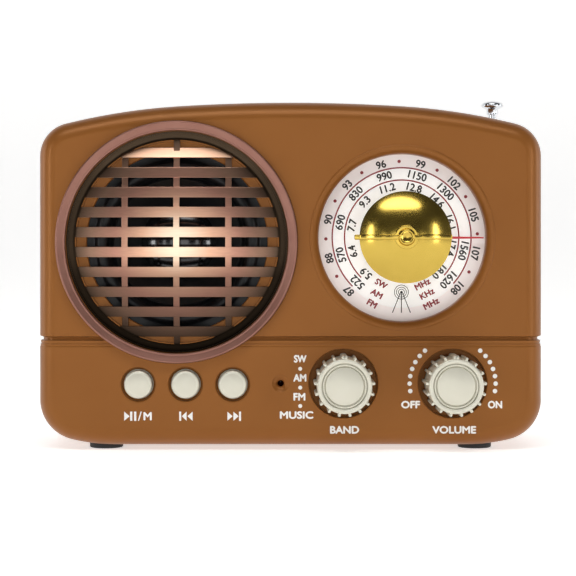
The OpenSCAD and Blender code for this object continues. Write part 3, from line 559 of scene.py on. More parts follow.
brown = moulded_abs_brown()
cream = pearl_lacquered_cream()
steel = zinc_plated_steel()
nylon = moulded_nylon_black()
chrome = chromed_brass_tube()
white_ink = printing_ink("screen_ink_white", "#ece9e4", "#fbfaf7")
black_ink = printing_ink("screen_ink_black", "#1b1918", "#2c2a29")
maroon_ink = printing_ink("screen_ink_maroon", "#84222a", "#9a3038")
print("materials:", len(bpy.data.materials))

# %% [markdown]
# ## The case
# The case is moulded in two shells that meet a little behind the front. The outline is made of
# arcs: a nearly flat crown, tighter shoulders and rounded corners. It could be made from a rounded
# cube, but then the crown and corners would not meet smoothly, so a circle's vertices are set on
# the arcs, extruded, and the rim is rounded with a bevel.

# %% Outline of the case
WALL = 2.0
FRONT_WALL = 2.2
EDGE_R = 4.5
GROOVE_Z = 26.1
GROOVE_HALF = 1.05
GROOVE_DEPTH = 0.93

TOP_R = 8.5
LOW_R = 10.5
CROWN_R = 450.0
SHOULDER_R = 160.0
SILL_R = 45.0
crown_x = CASE_W * 0.224
sill_x = CASE_W * 0.352
crown_angle = math.degrees(math.asin(crown_x / CROWN_R))
crown_centre = (0, CASE_H - CROWN_R)
shoulder_centre = (
    crown_x - SHOULDER_R * math.sin(math.radians(crown_angle)),
    crown_centre[1] + (CROWN_R - SHOULDER_R) * math.cos(math.radians(crown_angle)),
)
top_x = CASE_W / 2 - TOP_R
top_z = shoulder_centre[1] + math.sqrt((SHOULDER_R - TOP_R) ** 2 - (top_x - shoulder_centre[0]) ** 2)
top_angle = math.degrees(math.atan2(top_z - shoulder_centre[1], top_x - shoulder_centre[0]))
low_x = CASE_W / 2 - LOW_R
low_z = SILL_R - math.sqrt((SILL_R - LOW_R) ** 2 - (low_x - sill_x) ** 2)
low_angle = math.degrees(math.atan2(low_z - SILL_R, low_x - sill_x))


def outline(inset=0.0):
    """The case's outline in (x, z), drawn in by inset, as one closed ring of points."""
    half = [
        *arc((sill_x, SILL_R), SILL_R - inset, -90, low_angle, 8)[:-1],
        *arc((low_x, low_z), LOW_R - inset, low_angle, 0, 20)[:-1],
        *arc((top_x, top_z), TOP_R - inset, 0, top_angle, 20)[:-1],
        *arc(shoulder_centre, SHOULDER_R - inset, top_angle, 90 - crown_angle, 14)[:-1],
        *arc(crown_centre, CROWN_R - inset, 90 - crown_angle, 90, 8)[:-1],
    ]
    return half + [(0, CASE_H - inset)] + [(-x, z) for x, z in reversed(half)]


def outline_wall(name, y0, y1, inset=0.0, closed=False):
    """A band with the case's outline from depth y0 to y1, with caps if closed."""
    points = outline(inset)
    bpy.ops.object.select_all(action="DESELECT")
    bpy.ops.mesh.primitive_circle_add(vertices=len(points), radius=1, fill_type="NGON" if closed else "NOTHING")
    obj = bpy.context.object
    obj.name = name
    for vertex, (x, z) in zip(obj.data.vertices, points):
        vertex.co = at(x, y0, z)
    edit(obj)
    bpy.ops.mesh.select_all(action="SELECT")
    bpy.ops.mesh.extrude_region_move(TRANSFORM_OT_translate={"value": (0, (y1 - y0) * MM, 0)})
    bpy.ops.mesh.select_all(action="SELECT")
    bpy.ops.mesh.normals_make_consistent(inside=False)
    done()
    return obj


# %% One half of the case with its rounded rim and groove
def on_depth(y, tolerance=0.001):
    plane = FRONT + y * MM
    return lambda co: abs(co.y - plane) < tolerance * MM


def groove_profile():
    """Height offset and depth of each line across the groove: a steep slit above, a slope below."""
    return [
        (1.5, 0.0), (1.36, 0.05), (1.28, 0.3), (1.2, 0.95), (1.02, 1.1), (0.86, 0.9), (0.72, 0.52), (0.4, 0.45),
        (0.05, 0.45), (-0.3, 0.42), (-0.55, 0.16), (-0.75, 0.1), (-0.98, 0.13), (-1.15, 0.1), (-1.28, 0.02), (-1.5, 0.0),
    ]


def half_case(name, face_y, part_y):
    """A solid half, open at the parting line until its rim and groove are made."""
    obj = outline_wall(name, part_y, face_y)
    choose(obj, on_depth(face_y), "edges")
    bpy.ops.mesh.edge_face_add()
    bpy.ops.mesh.select_all(action="SELECT")
    bpy.ops.mesh.normals_make_consistent(inside=False)
    choose(obj, on_depth(face_y), "edges")
    bpy.ops.mesh.bevel(offset=EDGE_R * MM, segments=12, profile=0.5, affect="EDGES", clamp_overlap=False)
    for height, _ in groove_profile():
        bpy.ops.mesh.select_all(action="SELECT")
        bpy.ops.mesh.bisect(plane_co=at(0, 0, GROOVE_Z + height), plane_no=(0, 0, 1))
    for height, depth in groove_profile():
        if depth > 0:
            level = at(0, 0, GROOVE_Z + height).z
            choose(obj, lambda co, level=level: abs(co.z - level) < 0.002 * MM)
            bpy.ops.transform.shrink_fatten(value=-depth * MM)
    choose(obj, on_depth(part_y), "edges")
    bpy.ops.mesh.edge_face_add()
    bpy.ops.mesh.select_all(action="SELECT")
    bpy.ops.mesh.normals_make_consistent(inside=False)
    done()
    return obj


front = half_case("front_case", 0, PART_Y)
rear = half_case("rear_case", CASE_D, PART_Y)
print("front half", len(front.data.polygons), "faces, rear half", len(rear.data.polygons), "faces")

# %% [markdown]
# ## Hollowing the front shell
# The wall behind the front carries round collars for the speaker, the dial and the two knobs, and
# posts for screws. They are joined on as plain turned pieces. Then each opening is cut by a turned
# cutter whose profile already holds the rounded lip, which keeps the lip even all round.

# %% Hollow, collars and posts
def rod(name, spot, y0, y1, radius, steps=64):
    return turned(name, [(0, y0), (radius, y0), (radius, y1), (0, y1)], spot, steps)


DIAL_R = 21.0
DIAL_LIP = 1.5
DIAL_SUNK = depth_of("dial_plate")[0]
DIAL_BACK = depth_of("dial_plate")[1]
PLATE_R = DIAL_R + DIAL_LIP
WELL_R = 8.6
WELL_DEPTH = 3.7
WELL_FLOOR = 1.5
SOUND_HOLE_R = 22.7
GRILLE_SEAT = 1.6
BAFFLE_BACK = 3.0
RING_BORE_R = 28.0
RING_R = 30.25
SEAT_GAP = 0.15
OVER = 1.0

cut(front, outline_wall("hollow", FRONT_WALL, PART_Y + OVER, WALL, closed=True))
add_on(front, rod("baffle", SPEAKER, 1.7, BAFFLE_BACK, 27.5, 96))
add_on(front, rod("dial_collar", DIAL, 1.7, DIAL_BACK, PLATE_R + 1.6, 96))
for spot in (BAND, VOLUME):
    add_on(front, rod("well_cup", spot, 1.7, WELL_DEPTH + WELL_FLOOR, WELL_R + 1.2))
posts = [(8.5 - CASE_W / 2, 9), (8.5 - CASE_W / 2, CASE_H - 12), (46, CASE_H - 9), (48, 5.3)]
for post in posts:
    add_on(front, rod("screw_post", post, 1.7, PART_Y - 0.02, 3.0, 32))
print("front shell", len(front.data.polygons), "faces")


# %% Openings in the front
def lip(radius, width, depth=0.0, steps=6):
    """A rounded lip that narrows a hole from its mouth to its radius."""
    return arc((radius + width, depth + width), width, -90, -180, steps)


cut(front, turned("speaker_cutter", [
    (0, -OVER), (RING_R + SEAT_GAP, -OVER), (RING_R + SEAT_GAP, 0.5), (RING_BORE_R, 0.5),
    (RING_BORE_R, GRILLE_SEAT), (25.4, GRILLE_SEAT), (25.3, GRILLE_SEAT + 0.9), (SOUND_HOLE_R + 0.2, GRILLE_SEAT + 0.9),
    (SOUND_HOLE_R, GRILLE_SEAT + 1.1),
    (SOUND_HOLE_R, BAFFLE_BACK + OVER), (0, BAFFLE_BACK + OVER),
], SPEAKER, 128))
bead_r = PLATE_R + 0.9
add_on(front, turned("dial_bead", [
    (DIAL_R, 0.6), (DIAL_R, -0.2), *arc((bead_r - 0.6, 0.4), 0.62, -100, -35, 6), (bead_r + 0.1, 0.2),
    (bead_r + 0.1, 0.6), (DIAL_R, 0.6),
], DIAL, 128))
cut(front, turned("dial_cutter", [
    (0, -OVER), (PLATE_R, -OVER), (PLATE_R, -0.2), *lip(DIAL_R, DIAL_LIP, -0.2, 8), (DIAL_R, DIAL_SUNK),
    (PLATE_R + SEAT_GAP, DIAL_SUNK), (PLATE_R + SEAT_GAP, DIAL_BACK + OVER), (0, DIAL_BACK + OVER),
], DIAL, 128))
for spot in (BAND, VOLUME):
    cut(front, turned("well_cutter", [
        (0, -OVER), (WELL_R + 0.3, -OVER), *lip(WELL_R, 0.3, 0, 3), (WELL_R, WELL_DEPTH),
        (3.5, WELL_DEPTH), (3.5, 2 * WELL_DEPTH), (0, 2 * WELL_DEPTH),
    ], spot, 96))
for spot in BUTTONS:
    cut(front, turned("button_cutter", [
        (0, -OVER), (4.6, -OVER), *lip(4.15, 0.45, 0, 5), (4.15, 1.5), (3.75, 1.6), (3.75, 2 * FRONT_WALL),
        (0, 2 * FRONT_WALL),
    ], spot, 64))
cut(front, turned("lamp_cutter", [
    (0, -OVER), (2.15, -OVER), (2.15, 0), (1.95, 0.16), (1.5, 0.3), (1.05, 0.5), (0.8, 0.85),
    (0.7, 2 * FRONT_WALL), (0, 2 * FRONT_WALL),
], LAMP, 48))
print("front shell with openings", len(front.data.polygons), "faces")

# %% Openings for the sockets, screw holes and foot pockets
right = CASE_W / 2
for name in ("usb_socket", "card_socket", "charge_socket"):
    low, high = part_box(name)
    y0, y1 = depth_of(name)
    z0 = (low.z - UNDERSIDE) / MM
    z1 = (high.z - UNDERSIDE) / MM
    cut(front, block("socket_cutter", (right - WALL - OVER, y0 - 0.15, z0 - 0.15), (right + OVER, y1 + 0.15, z1 + 0.15)))
jack_low, jack_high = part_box("headphone_jack")
JACK_Z = ((jack_low + jack_high) / 2 - Vector((0, 0, UNDERSIDE))).z / MM
JACK_Y = depth_of("headphone_jack")[0] + 3.2


def turned_across(name, profile, y, z, steps=48):
    """A turned piece whose axis runs sideways; its depths count from the middle of the case."""
    obj = turned(name, profile, (0, 0), steps, up=True)
    alone(obj)
    for vertex in obj.data.vertices:
        off = vertex.co - at(0, 0, 0)
        vertex.co = at(off.z / MM, y + off.y / MM, z - off.x / MM)
    return obj


cut(front, turned_across("jack_cutter", [
    (0, right - 2 * WALL), (2.95, right - 2 * WALL), (2.95, right + OVER), (0, right + OVER),
], JACK_Y, JACK_Z))

feet_low, feet_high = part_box("rubber_feet")
FOOT_R = 4.25
FOOT_X = feet_high.x / MM - FOOT_R
FOOT_Y = (feet_low.y - FRONT) / MM + FOOT_R
FOOT_TOP = (feet_high.z - UNDERSIDE) / MM
FOOT_PLACES = [(x, y) for x in (-FOOT_X, FOOT_X) for y in (FOOT_Y, CASE_D - FOOT_Y)]
for place in FOOT_PLACES:
    shell = front if place[1] < PART_Y else rear
    cut(shell, turned("foot_cutter", [
        (0, -OVER), (FOOT_R + SEAT_GAP, -OVER), (FOOT_R + SEAT_GAP, FOOT_TOP), (0, FOOT_TOP),
    ], place, 48, up=True))
for post in posts:
    cut(front, rod("pilot_cutter", post, PART_Y - 9, PART_Y + OVER, 1.2, 24))
shade(front)
settle(front, "case", brown, "brown_case", "front_shell")

# %% [markdown]
# ## The rear shell
# It carries the battery bay with its cover, a channel for the antenna, and sunk holes for the four
# case screws. It is hollowed and cut in the same way as the front.

# %% Rear shell
door_low, door_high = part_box("battery_door")
DOOR_X0, DOOR_X1 = door_low.x / MM, door_high.x / MM
DOOR_Z0, DOOR_Z1 = (door_low.z - UNDERSIDE) / MM, (door_high.z - UNDERSIDE) / MM
DOOR_T = 1.6
ANTENNA_X = sum(v.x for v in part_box("antenna_tip")) / 2 / MM
ANTENNA_Y = sum(depth_of("antenna_tip")) / 2
CHANNEL_HALF = 3.3
CHANNEL_FRONT = ANTENNA_Y - 3.5
CHANNEL_FLOOR = (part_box("antenna_bracket")[0].z - UNDERSIDE) / MM
BATTERY_Y = depth_of("battery")[0] - 0.3

cut(rear, outline_wall("hollow", PART_Y - OVER, CASE_D - WALL, WALL, closed=True))
for post in posts:
    add_on(rear, rod("screw_post", post, PART_Y + 0.02, CASE_D - 1, 3.0, 32))
add_on(rear, block(
    "bay_walls", (DOOR_X0 - 0.2, BATTERY_Y - 1.2, DOOR_Z0 - 0.2), (DOOR_X1 + 0.2, CASE_D - 1, DOOR_Z1 + 0.2)
))
channel_walls = block(
    "channel_walls", (ANTENNA_X - CHANNEL_HALF - 1.5, CHANNEL_FRONT - 1.5, 0),
    (ANTENNA_X + CHANNEL_HALF + 1.5, CASE_D, CASE_H)
)
combine(channel_walls, outline_wall("limits", PART_Y, CASE_D - 1, 1.0, closed=True), "INTERSECT")
add_on(rear, channel_walls)
cut(rear, block(
    "channel", (ANTENNA_X - CHANNEL_HALF, CHANNEL_FRONT, CHANNEL_FLOOR),
    (ANTENNA_X + CHANNEL_HALF, CASE_D + OVER, CASE_H + OVER)
))
BAY_RIM = 3.2
cut(rear, block(
    "bay", (DOOR_X0 - 0.2 + 3, BATTERY_Y, DOOR_Z0 - 0.2 + 3), (DOOR_X1 + 0.2 - 3, CASE_D + OVER, DOOR_Z1 + 0.2 - 3)
))
cut(rear, block(
    "door_seat", (DOOR_X0 - 0.2, CASE_D - DOOR_T, DOOR_Z0 - 0.2), (DOOR_X1 + 0.2, CASE_D + OVER, DOOR_Z1 + 0.2)
))
for post in posts:
    cut(rear, rod("screw_cutter", post, PART_Y - OVER, CASE_D - 5, 1.35, 24))
    cut(rear, turned("head_cutter", [
        (0, CASE_D - 10), (2.45, CASE_D - 10), (2.45, CASE_D - 0.3), (2.75, CASE_D), (2.75, CASE_D + OVER),
        (0, CASE_D + OVER),
    ], post, 32))
shade(rear)
settle(rear, "case", brown, "brown_case", "rear_shell")

# %% [markdown]
# ## Speaker: ring, grille and cone
# The trim ring is turned: a bright outer lip and a face that slopes inwards. The grille is a
# shallow dome of flat slats with three upright ribs behind them, so each slat is a rounded bar
# pushed onto the dome, and the rim that holds them is turned.

# %% Trim ring
RING_PROUD = 1.8
ring = turned("trim_ring", [
    (RING_BORE_R - 0.1, 0.5), (RING_R, 0.5), (RING_R, -RING_PROUD + 0.55),
    *arc((RING_R - 0.35, -RING_PROUD + 0.35), 0.35, 0, -90, 4),
    (RING_R - 0.6, -RING_PROUD + 0.02), (RING_BORE_R + 0.5, -RING_PROUD / 3 - 0.25),
    *arc((RING_BORE_R + 0.2, -RING_PROUD / 3), 0.3, -60, -180, 3),
    (RING_BORE_R - 0.1, 0.5),
], SPEAKER, 160)
shade(ring, 50, flat_first=False)
settle(ring, "case", copper_tinted_plating(), "copper_trim", "speaker_ring")

# %% Domed grille
SLAT_W = 2.58
SLAT_PITCH = 4.98
SLATS = 10
FIELD_R = 25.6
RIB_W = 1.55
RIB_PITCH = 12.95
TOP_SLAT_TIP = 0.27
DOME_RIM_R = 26.35
DOME_RISE = 3.5
DOME_R = (DOME_RIM_R ** 2 + DOME_RISE ** 2) / (2 * DOME_RISE)


def dome_depth(x, z):
    """Depth of the dome's outer face at an offset from the speaker's centre."""
    return GRILLE_SEAT - DOME_RISE + DOME_R - math.sqrt(DOME_R ** 2 - x * x - z * z)


def bar_on_dome(name, low, high, sink, thickness, along, pieces=40):
    """A long bar between two offsets, pressed onto the dome's curve."""
    obj = block(
        name, (SPEAKER[0] + low[0], sink, SPEAKER[1] + low[1]),
        (SPEAKER[0] + high[0], sink + thickness, SPEAKER[1] + high[1])
    )
    soften(obj, 0.09, 2)
    edit(obj)
    for i in range(1, pieces):
        share = i / pieces
        place = (low[0] + (high[0] - low[0]) * share, low[1] + (high[1] - low[1]) * share)
        bpy.ops.mesh.select_all(action="SELECT")
        bpy.ops.mesh.bisect(plane_co=at(SPEAKER[0] + place[0], 0, SPEAKER[1] + place[1]), plane_no=along)
    done()
    for vertex in obj.data.vertices:
        off = vertex.co - at(SPEAKER[0], 0, SPEAKER[1])
        vertex.co.y += dome_depth(off.x / MM, off.z / MM) * MM
    return obj


bars = []
for i in range(SLATS):
    height = (i - (SLATS - 1) / 2) * SLAT_PITCH
    reach = math.sqrt((FIELD_R + 0.5) ** 2 - (abs(height) - SLAT_W / 2) ** 2)
    if i == SLATS - 1:
        reach -= 1.3
    bars.append(bar_on_dome(
        "slat", (-reach, height - SLAT_W / 2), (reach, height + SLAT_W / 2), 0, 1.1, (1, 0, 0)
    ))
for vertex in bars[-1].data.vertices:
    vertex.co.y += (vertex.co.z - at(0, 0, SPEAKER[1] + height).z) * TOP_SLAT_TIP
for i in (-1, 0, 1):
    offset = i * RIB_PITCH
    reach = math.sqrt((FIELD_R + 0.4) ** 2 - offset ** 2)
    bars.append(bar_on_dome(
        "rib", (offset - RIB_W / 2, -reach), (offset + RIB_W / 2, reach), 0.12, 0.95, (0, 0, 1)
    ))
rim_depth = dome_depth(FIELD_R, 0)
bars.append(turned("grille_rim", [
    (FIELD_R, rim_depth + 0.15), (FIELD_R + 0.15, rim_depth), (DOME_RIM_R, dome_depth(DOME_RIM_R, 0) - 0.02),
    (27.4, GRILLE_SEAT - 0.25), (27.45, GRILLE_SEAT - 0.02), (RING_BORE_R - SEAT_GAP, GRILLE_SEAT - 0.02),
    (RING_BORE_R - SEAT_GAP, GRILLE_SEAT),
    (FIELD_R, GRILLE_SEAT), (FIELD_R, rim_depth + 0.15),
], SPEAKER, 160))
grille = join("speaker_slats", bars)
shade(grille, 30)
settle(grille, "case", copper_grille_painted_reflection(), "bronze_trim", "speaker_grille")

# %% Speaker cone and dust cap
CONE_FACE = depth_of("speaker_cone")[0]
cone = turned("paper_cone", [
    (22.9, CONE_FACE + 0.1), (21.2, CONE_FACE + 0.2), *arc((19.0, CONE_FACE + 0.9), 1.9, -30, -170, 12),
    (16.6, CONE_FACE + 1.9), (16.3, CONE_FACE + 2.3), (16.0, CONE_FACE + 2.2), (6.6, CONE_FACE + 8.6),
    (6.2, CONE_FACE + 9.6), (5.7, CONE_FACE + 9.6), (15.8, CONE_FACE + 3.2), (17.2, CONE_FACE + 2.4),
    (20.6, CONE_FACE + 2.2), (21.4, CONE_FACE + 0.8), (22.9, CONE_FACE + 0.8), (22.9, CONE_FACE + 0.1),
], SPEAKER, 128)
shade(cone, 50, flat_first=False)
settle(cone, "case", pressed_paper_black(), "speaker_paper", "speaker_cone")
CAP_R = 9.4
CAP_BALL_R = 16.0
CAP_RIM = CONE_FACE + 6.6
cap_half = math.degrees(math.asin(CAP_R / CAP_BALL_R))
cap_centre = CAP_RIM + CAP_BALL_R * math.cos(math.radians(cap_half))
cap = turned("dust_cap_dome", [
    *arc((0, cap_centre), CAP_BALL_R, -90, -90 + cap_half, 20), (CAP_R + 0.3, CAP_RIM + 0.15),
    (CAP_R, CAP_RIM + 0.3), (0, CAP_RIM + 0.3),
], SPEAKER, 96)
shade(cap, 50, flat_first=False)
settle(cap, "case", glossy_dust_cap(), "speaker_paper", "speaker_dust_cap")

# %% [markdown]
# ## Dial plate and its printing
# The plate is a thin disc. The figures are text made into thin solid shapes and laid on the plate,
# because real screen ink stands a few hundredths of a millimetre high. Every figure stands with
# its head outwards, so each is made flat at the origin, turned, and then set in its place.

# %% Dial plate
plate = turned("printed_plate", [
    (3.4, DIAL_SUNK), (PLATE_R - 0.3, DIAL_SUNK), (PLATE_R - 0.2, DIAL_SUNK + 0.1), (PLATE_R - 0.2, DIAL_BACK),
    (3.4, DIAL_BACK), (3.4, DIAL_SUNK),
], DIAL, 128)
shade(plate, 40, flat_first=False)
settle(plate, "case", printed_dial_card(), "dial_print", "dial_plate")


# %% Lettering
INK_T = 0.03
INK_LAYER = 0.003


def lettering(words, height, x, z, y, angle=0.0, weight=0.0, width=None, squeeze=1.0):
    """Words as a thin solid, middle at x and z, on the surface at depth y, turned by angle.

    A bold face is the same word set down four times, a little apart, in layers of ink.
    """
    copies = []
    shifts = ((-weight, 0), (weight, 0), (0, -weight), (0, weight)) if weight else ((0, 0),)
    for layer, (du, dv) in enumerate(shifts):
        bpy.ops.object.select_all(action="DESELECT")
        bpy.ops.object.text_add(location=(0, 0, 0))
        obj = bpy.context.object
        obj.data.body = words
        obj.data.resolution_u = 3
        alone(obj)
        bpy.ops.object.convert(target="MESH")
        obj = bpy.context.object
        corners = [v.co for v in obj.data.vertices]
        low = Vector((min(c.x for c in corners), min(c.y for c in corners)))
        high = Vector((max(c.x for c in corners), max(c.y for c in corners)))
        size = (height - 2 * weight) / (high.y - low.y)
        wide = (width - 2 * weight) / (high.x - low.x) if width else size * squeeze
        turn = math.radians(angle)
        for vertex in obj.data.vertices:
            u = (vertex.co.x - (low.x + high.x) / 2) * wide + du
            v = (vertex.co.y - (low.y + high.y) / 2) * size + dv
            vertex.co = at(
                x + u * math.cos(turn) - v * math.sin(turn),
                y - layer * INK_LAYER,
                z + u * math.sin(turn) + v * math.cos(turn),
            )
        thicken(obj)
        copies.append(obj)
    return join("words", copies)


def thicken(obj):
    """Give a flat shape the thickness of a layer of ink, towards the front."""
    edit(obj)
    bpy.ops.mesh.select_all(action="SELECT")
    bpy.ops.mesh.remove_doubles(threshold=0.0005 * MM)
    bpy.ops.mesh.extrude_region_move(TRANSFORM_OT_translate={"value": (0, -INK_T * MM, 0)})
    bpy.ops.mesh.select_all(action="SELECT")
    bpy.ops.mesh.normals_make_consistent(inside=False)
    done()


def printed_shape(corners, x, z, y):
    """A flat shape with straight sides, given by its corners, as a layer of ink."""
    bpy.ops.object.select_all(action="DESELECT")
    bpy.ops.mesh.primitive_circle_add(vertices=len(corners), radius=1, fill_type="NGON")
    obj = bpy.context.object
    for vertex, (u, v) in zip(obj.data.vertices, corners):
        vertex.co = at(x + u, y, z + v)
    thicken(obj)
    return obj


def printed_dot(radius, x, z, y, sides=16):
    return printed_shape(arc((0, 0), radius, 0, 360 - 360 / sides, sides - 1), x, z, y)


def printed_arc(radius, width, start, stop, centre, y, steps=64):
    """A curved line of ink, as a closed ring or an open arc."""
    outer = arc((0, 0), radius + width / 2, start, stop, steps)
    inner = arc((0, 0), radius - width / 2, stop, start, steps)
    return printed_shape(outer + inner, centre[0], centre[1], y)


# %% Figures, rings and dots of the dial
FM = ["87", "88", "90", "93", "96", "99", "102", "105", "107", "108"]
AM = ["522", "570", "690", "830", "990", "1150", "1300", "", "1560", "1620"]
SW = ["5.9", "6.4", "7.7", "9.3", "11.2", "12.8", "14.6", "16.1", "17.4", "18.0"]
NUDGES = (0.5, 0.0, 0.0, 0.3, 0.9, 1.5, 1.6, 0.3, 0.2, 0.6)
FIRST_ANGLE = 226.0
ANGLE_STEP = 29.8
PRINT_CENTRE = (DIAL[0], DIAL[1] + 0.15)


def on_dial(radius, angle):
    turn = math.radians(angle)
    return PRINT_CENTRE[0] + radius * math.cos(turn), PRINT_CENTRE[1] + radius * math.sin(turn)


figures = []
for row, radius, height in ((FM, 19.0, 2.0), (AM, 15.95, 2.05), (SW, 12.85, 2.0)):
    for i, words in enumerate(row):
        if words:
            angle = FIRST_ANGLE - ANGLE_STEP * i - NUDGES[i]
            x, z = on_dial(radius, angle)
            figures.append(lettering(words, height, x, z, DIAL_SUNK, angle - 90, 0.08, squeeze=0.96))
black_print = join("dial_figures", figures)
settle(black_print, "case", black_ink, "dial_print")

marks = [printed_arc(radius, 0.36, 225, -42, PRINT_CENTRE, DIAL_SUNK, 120) for radius in (17.5, 14.4)]
for i in range(9):
    x, z = on_dial(19.1, FIRST_ANGLE - ANGLE_STEP * (i + 0.5))
    marks.append(printed_dot(0.42, x, z, DIAL_SUNK))
for words, x, z, angle in (
    ("SW", -5.15, -11.75, -30), ("AM", -6.3, -14.25, -30), ("FM", -7.45, -16.75, -30),
    ("MHz", 5.25, -11.85, 28), ("KHz", 6.4, -14.25, 28), ("MHz", 7.45, -16.75, 28),
):
    marks.append(lettering(words, 1.65, DIAL[0] + x, PRINT_CENTRE[1] + z, DIAL_SUNK, angle, 0.09))
maroon_print = join("dial_scale_marks", marks)
settle(maroon_print, "case", maroon_ink, "dial_print")

# %% A plain mast mark under the knob
MAST = (DIAL[0] - 0.05, PRINT_CENTRE[1] - 13.85)
mast = [printed_arc(radius, 0.16, 0, 359.9, MAST, DIAL_SUNK, 40) for radius in (0.75, 1.25, 1.78)]
mast.append(printed_dot(0.32, MAST[0], MAST[1], DIAL_SUNK))
for side in (-1, 1):
    mast.append(printed_shape(
        [(side * 0.1, 0), (side * 0.3, 0), (side * 2.4, -5.2), (side * 2.15, -5.2)], MAST[0], MAST[1], DIAL_SUNK
    ))
mast.append(printed_shape([(-0.12, -0.3), (0.12, -0.3), (0.12, -5.2), (-0.12, -5.2)], MAST[0], MAST[1], DIAL_SUNK))
mast_print = join("dial_mast_mark", mast)
settle(mast_print, "case", black_ink, "dial_print")

# %% [markdown]
# ## Printing on the case
# White screen ink on the flat front: the names of the bands and knobs, the volume dots, and the
# signs under the three buttons, which are plain triangles and bars.

# %% Words
WORDS = [
    ("SW", 2.4, 21.8, 3.2), ("AM", 2.3, 17.05, 3.3), ("FM", 2.2, 12.3, 3.0), ("MUSIC", 1.5, 7.75, 8.4),
    ("BAND", 13.5, 4.05, 7.3), ("VOLUME", 40.9, 4.05, 11.0), ("OFF", 30.0, 10.35, 4.75), ("ON", 51.1, 10.35, 3.6),
]
white = [lettering(words, 1.95, x, z, 0, 0, 0.11, width=width) for words, x, z, width in WORDS]
for height in (19.3, 14.6, 10.0):
    white.append(printed_dot(0.5, 2.4, height, 0))
for i in range(7):
    for angle in (190 - 10 * i, 50 - 10 * i):
        turn = math.radians(angle)
        white.append(printed_dot(0.57, VOLUME[0] + 10.75 * math.cos(turn), VOLUME[1] + 10.75 * math.sin(turn), 0))


# %% Signs under the buttons
SIGN_Z = 7.45
SIGN_H = 2.3


def arrow(x, width, side):
    """A triangle that points right (side 1) or left (side -1)."""
    return printed_shape([(0, SIGN_H / 2), (side * width, 0), (0, -SIGN_H / 2)], x, SIGN_Z, 0)


def stroke(x, width, lean=0.0):
    return printed_shape([
        (-width / 2 + lean, SIGN_H / 2), (width / 2 + lean, SIGN_H / 2),
        (width / 2 - lean, -SIGN_H / 2), (-width / 2 - lean, -SIGN_H / 2),
    ], x, SIGN_Z, 0)


play_x, previous_x, next_x = (spot[0] for spot in BUTTONS)
white += [arrow(play_x - 3.5, 1.35, 1), stroke(play_x - 1.75, 0.55), stroke(play_x - 0.75, 0.55)]
white += [stroke(play_x + 0.4, 0.3, 0.35), lettering("M", 2.1, play_x + 2.35, SIGN_Z, 0, 0, 0.11, width=2.1)]
white += [stroke(previous_x - 1.3, 0.5), arrow(previous_x + 0.3, 1.2, -1), arrow(previous_x + 1.8, 1.3, -1)]
white += [arrow(next_x - 1.3, 1.3, 1), arrow(next_x + 0.2, 1.3, 1), stroke(next_x + 1.85, 0.5)]
case_print = join("case_lettering", white)
settle(case_print, "case", white_ink, "brown_case")

# %% [markdown]
# ## Tuning knob and pointer
# The knob is a gold-plated dome on a narrower foot, with a thin grip bar right across it and a
# dished button in the middle. All of it turns with the needle.

# %% Gold dome
TUNING_R = 11.25
TUNING_RIM = 11.5
TUNING_RISE = 4.0
KNOB_DOME_R = (TUNING_R ** 2 + TUNING_RISE ** 2) / (2 * TUNING_RISE)
dome_centre = -TUNING_RIM - TUNING_RISE + KNOB_DOME_R
edge_angle = math.degrees(math.asin(TUNING_R / KNOB_DOME_R))
needle_front, needle_back = depth_of("dial_pointer")
dome_arc = arc((0, dome_centre), KNOB_DOME_R, -90, -90 + edge_angle, 40)
dome = turned("gold_dome", [
    *dome_arc, *arc((TUNING_R - 0.3, -TUNING_RIM + 0.35), 0.3, 0, 90, 3), (TUNING_R - 1.3, -TUNING_RIM + 1.6),
    (TUNING_R - 2.2, needle_front), (3.0, needle_front), (3.0, -TUNING_RIM + 3), (0, -TUNING_RIM + 3),
], DIAL, 160)
shade(dome, 50, flat_first=False)


def dome_y(offset):
    return dome_centre - math.sqrt(KNOB_DOME_R ** 2 - min(abs(offset), TUNING_R) ** 2)


# %% Grip bar and hub
GRIP_W = 1.3
GRIP_OUT = 1.25
GRIP_PROUD = 0.35
grip = block(
    "grip_bar", (DIAL[0] - TUNING_R - GRIP_OUT, -GRIP_PROUD, DIAL[1] - GRIP_W / 2),
    (DIAL[0] + TUNING_R + 0.15, 1.2, DIAL[1] + GRIP_W / 2)
)
soften(grip, 0.28, 3)
edit(grip)
for i in range(1, 60):
    bpy.ops.mesh.select_all(action="SELECT")
    x = DIAL[0] - TUNING_R - GRIP_OUT + (2 * TUNING_R + GRIP_OUT + 0.15) * i / 60
    bpy.ops.mesh.bisect(plane_co=at(x, 0, 0), plane_no=(1, 0, 0))
done()
for vertex in grip.data.vertices:
    vertex.co.y += dome_y((vertex.co.x - at(DIAL[0], 0, 0).x) / MM) * MM
shade(grip, 50, flat_first=False)

HUB_TOP = depth_of("tuning_knob")[0]
hub = turned("hub", [
    (0, HUB_TOP + 0.35), *arc((0, HUB_TOP - 2.2), 2.55, 88, 62, 6), *arc((1.62, HUB_TOP + 0.3), 0.3, -150, 0, 6),
    (2.0, HUB_TOP + 0.75), (2.15, HUB_TOP + 0.95), (2.6, HUB_TOP + 0.98), *arc((2.7, HUB_TOP + 1.2), 0.22, -80, 20, 4),
    (3.05, HUB_TOP + 2.2), (0, HUB_TOP + 2.2),
], DIAL, 96)
shade(hub, 40, flat_first=False)
knob = join("tuning_dome_knob", [dome, grip, hub])
settle(knob, "tuning_control", gold_plating(), "gold_plating", "tuning_knob")

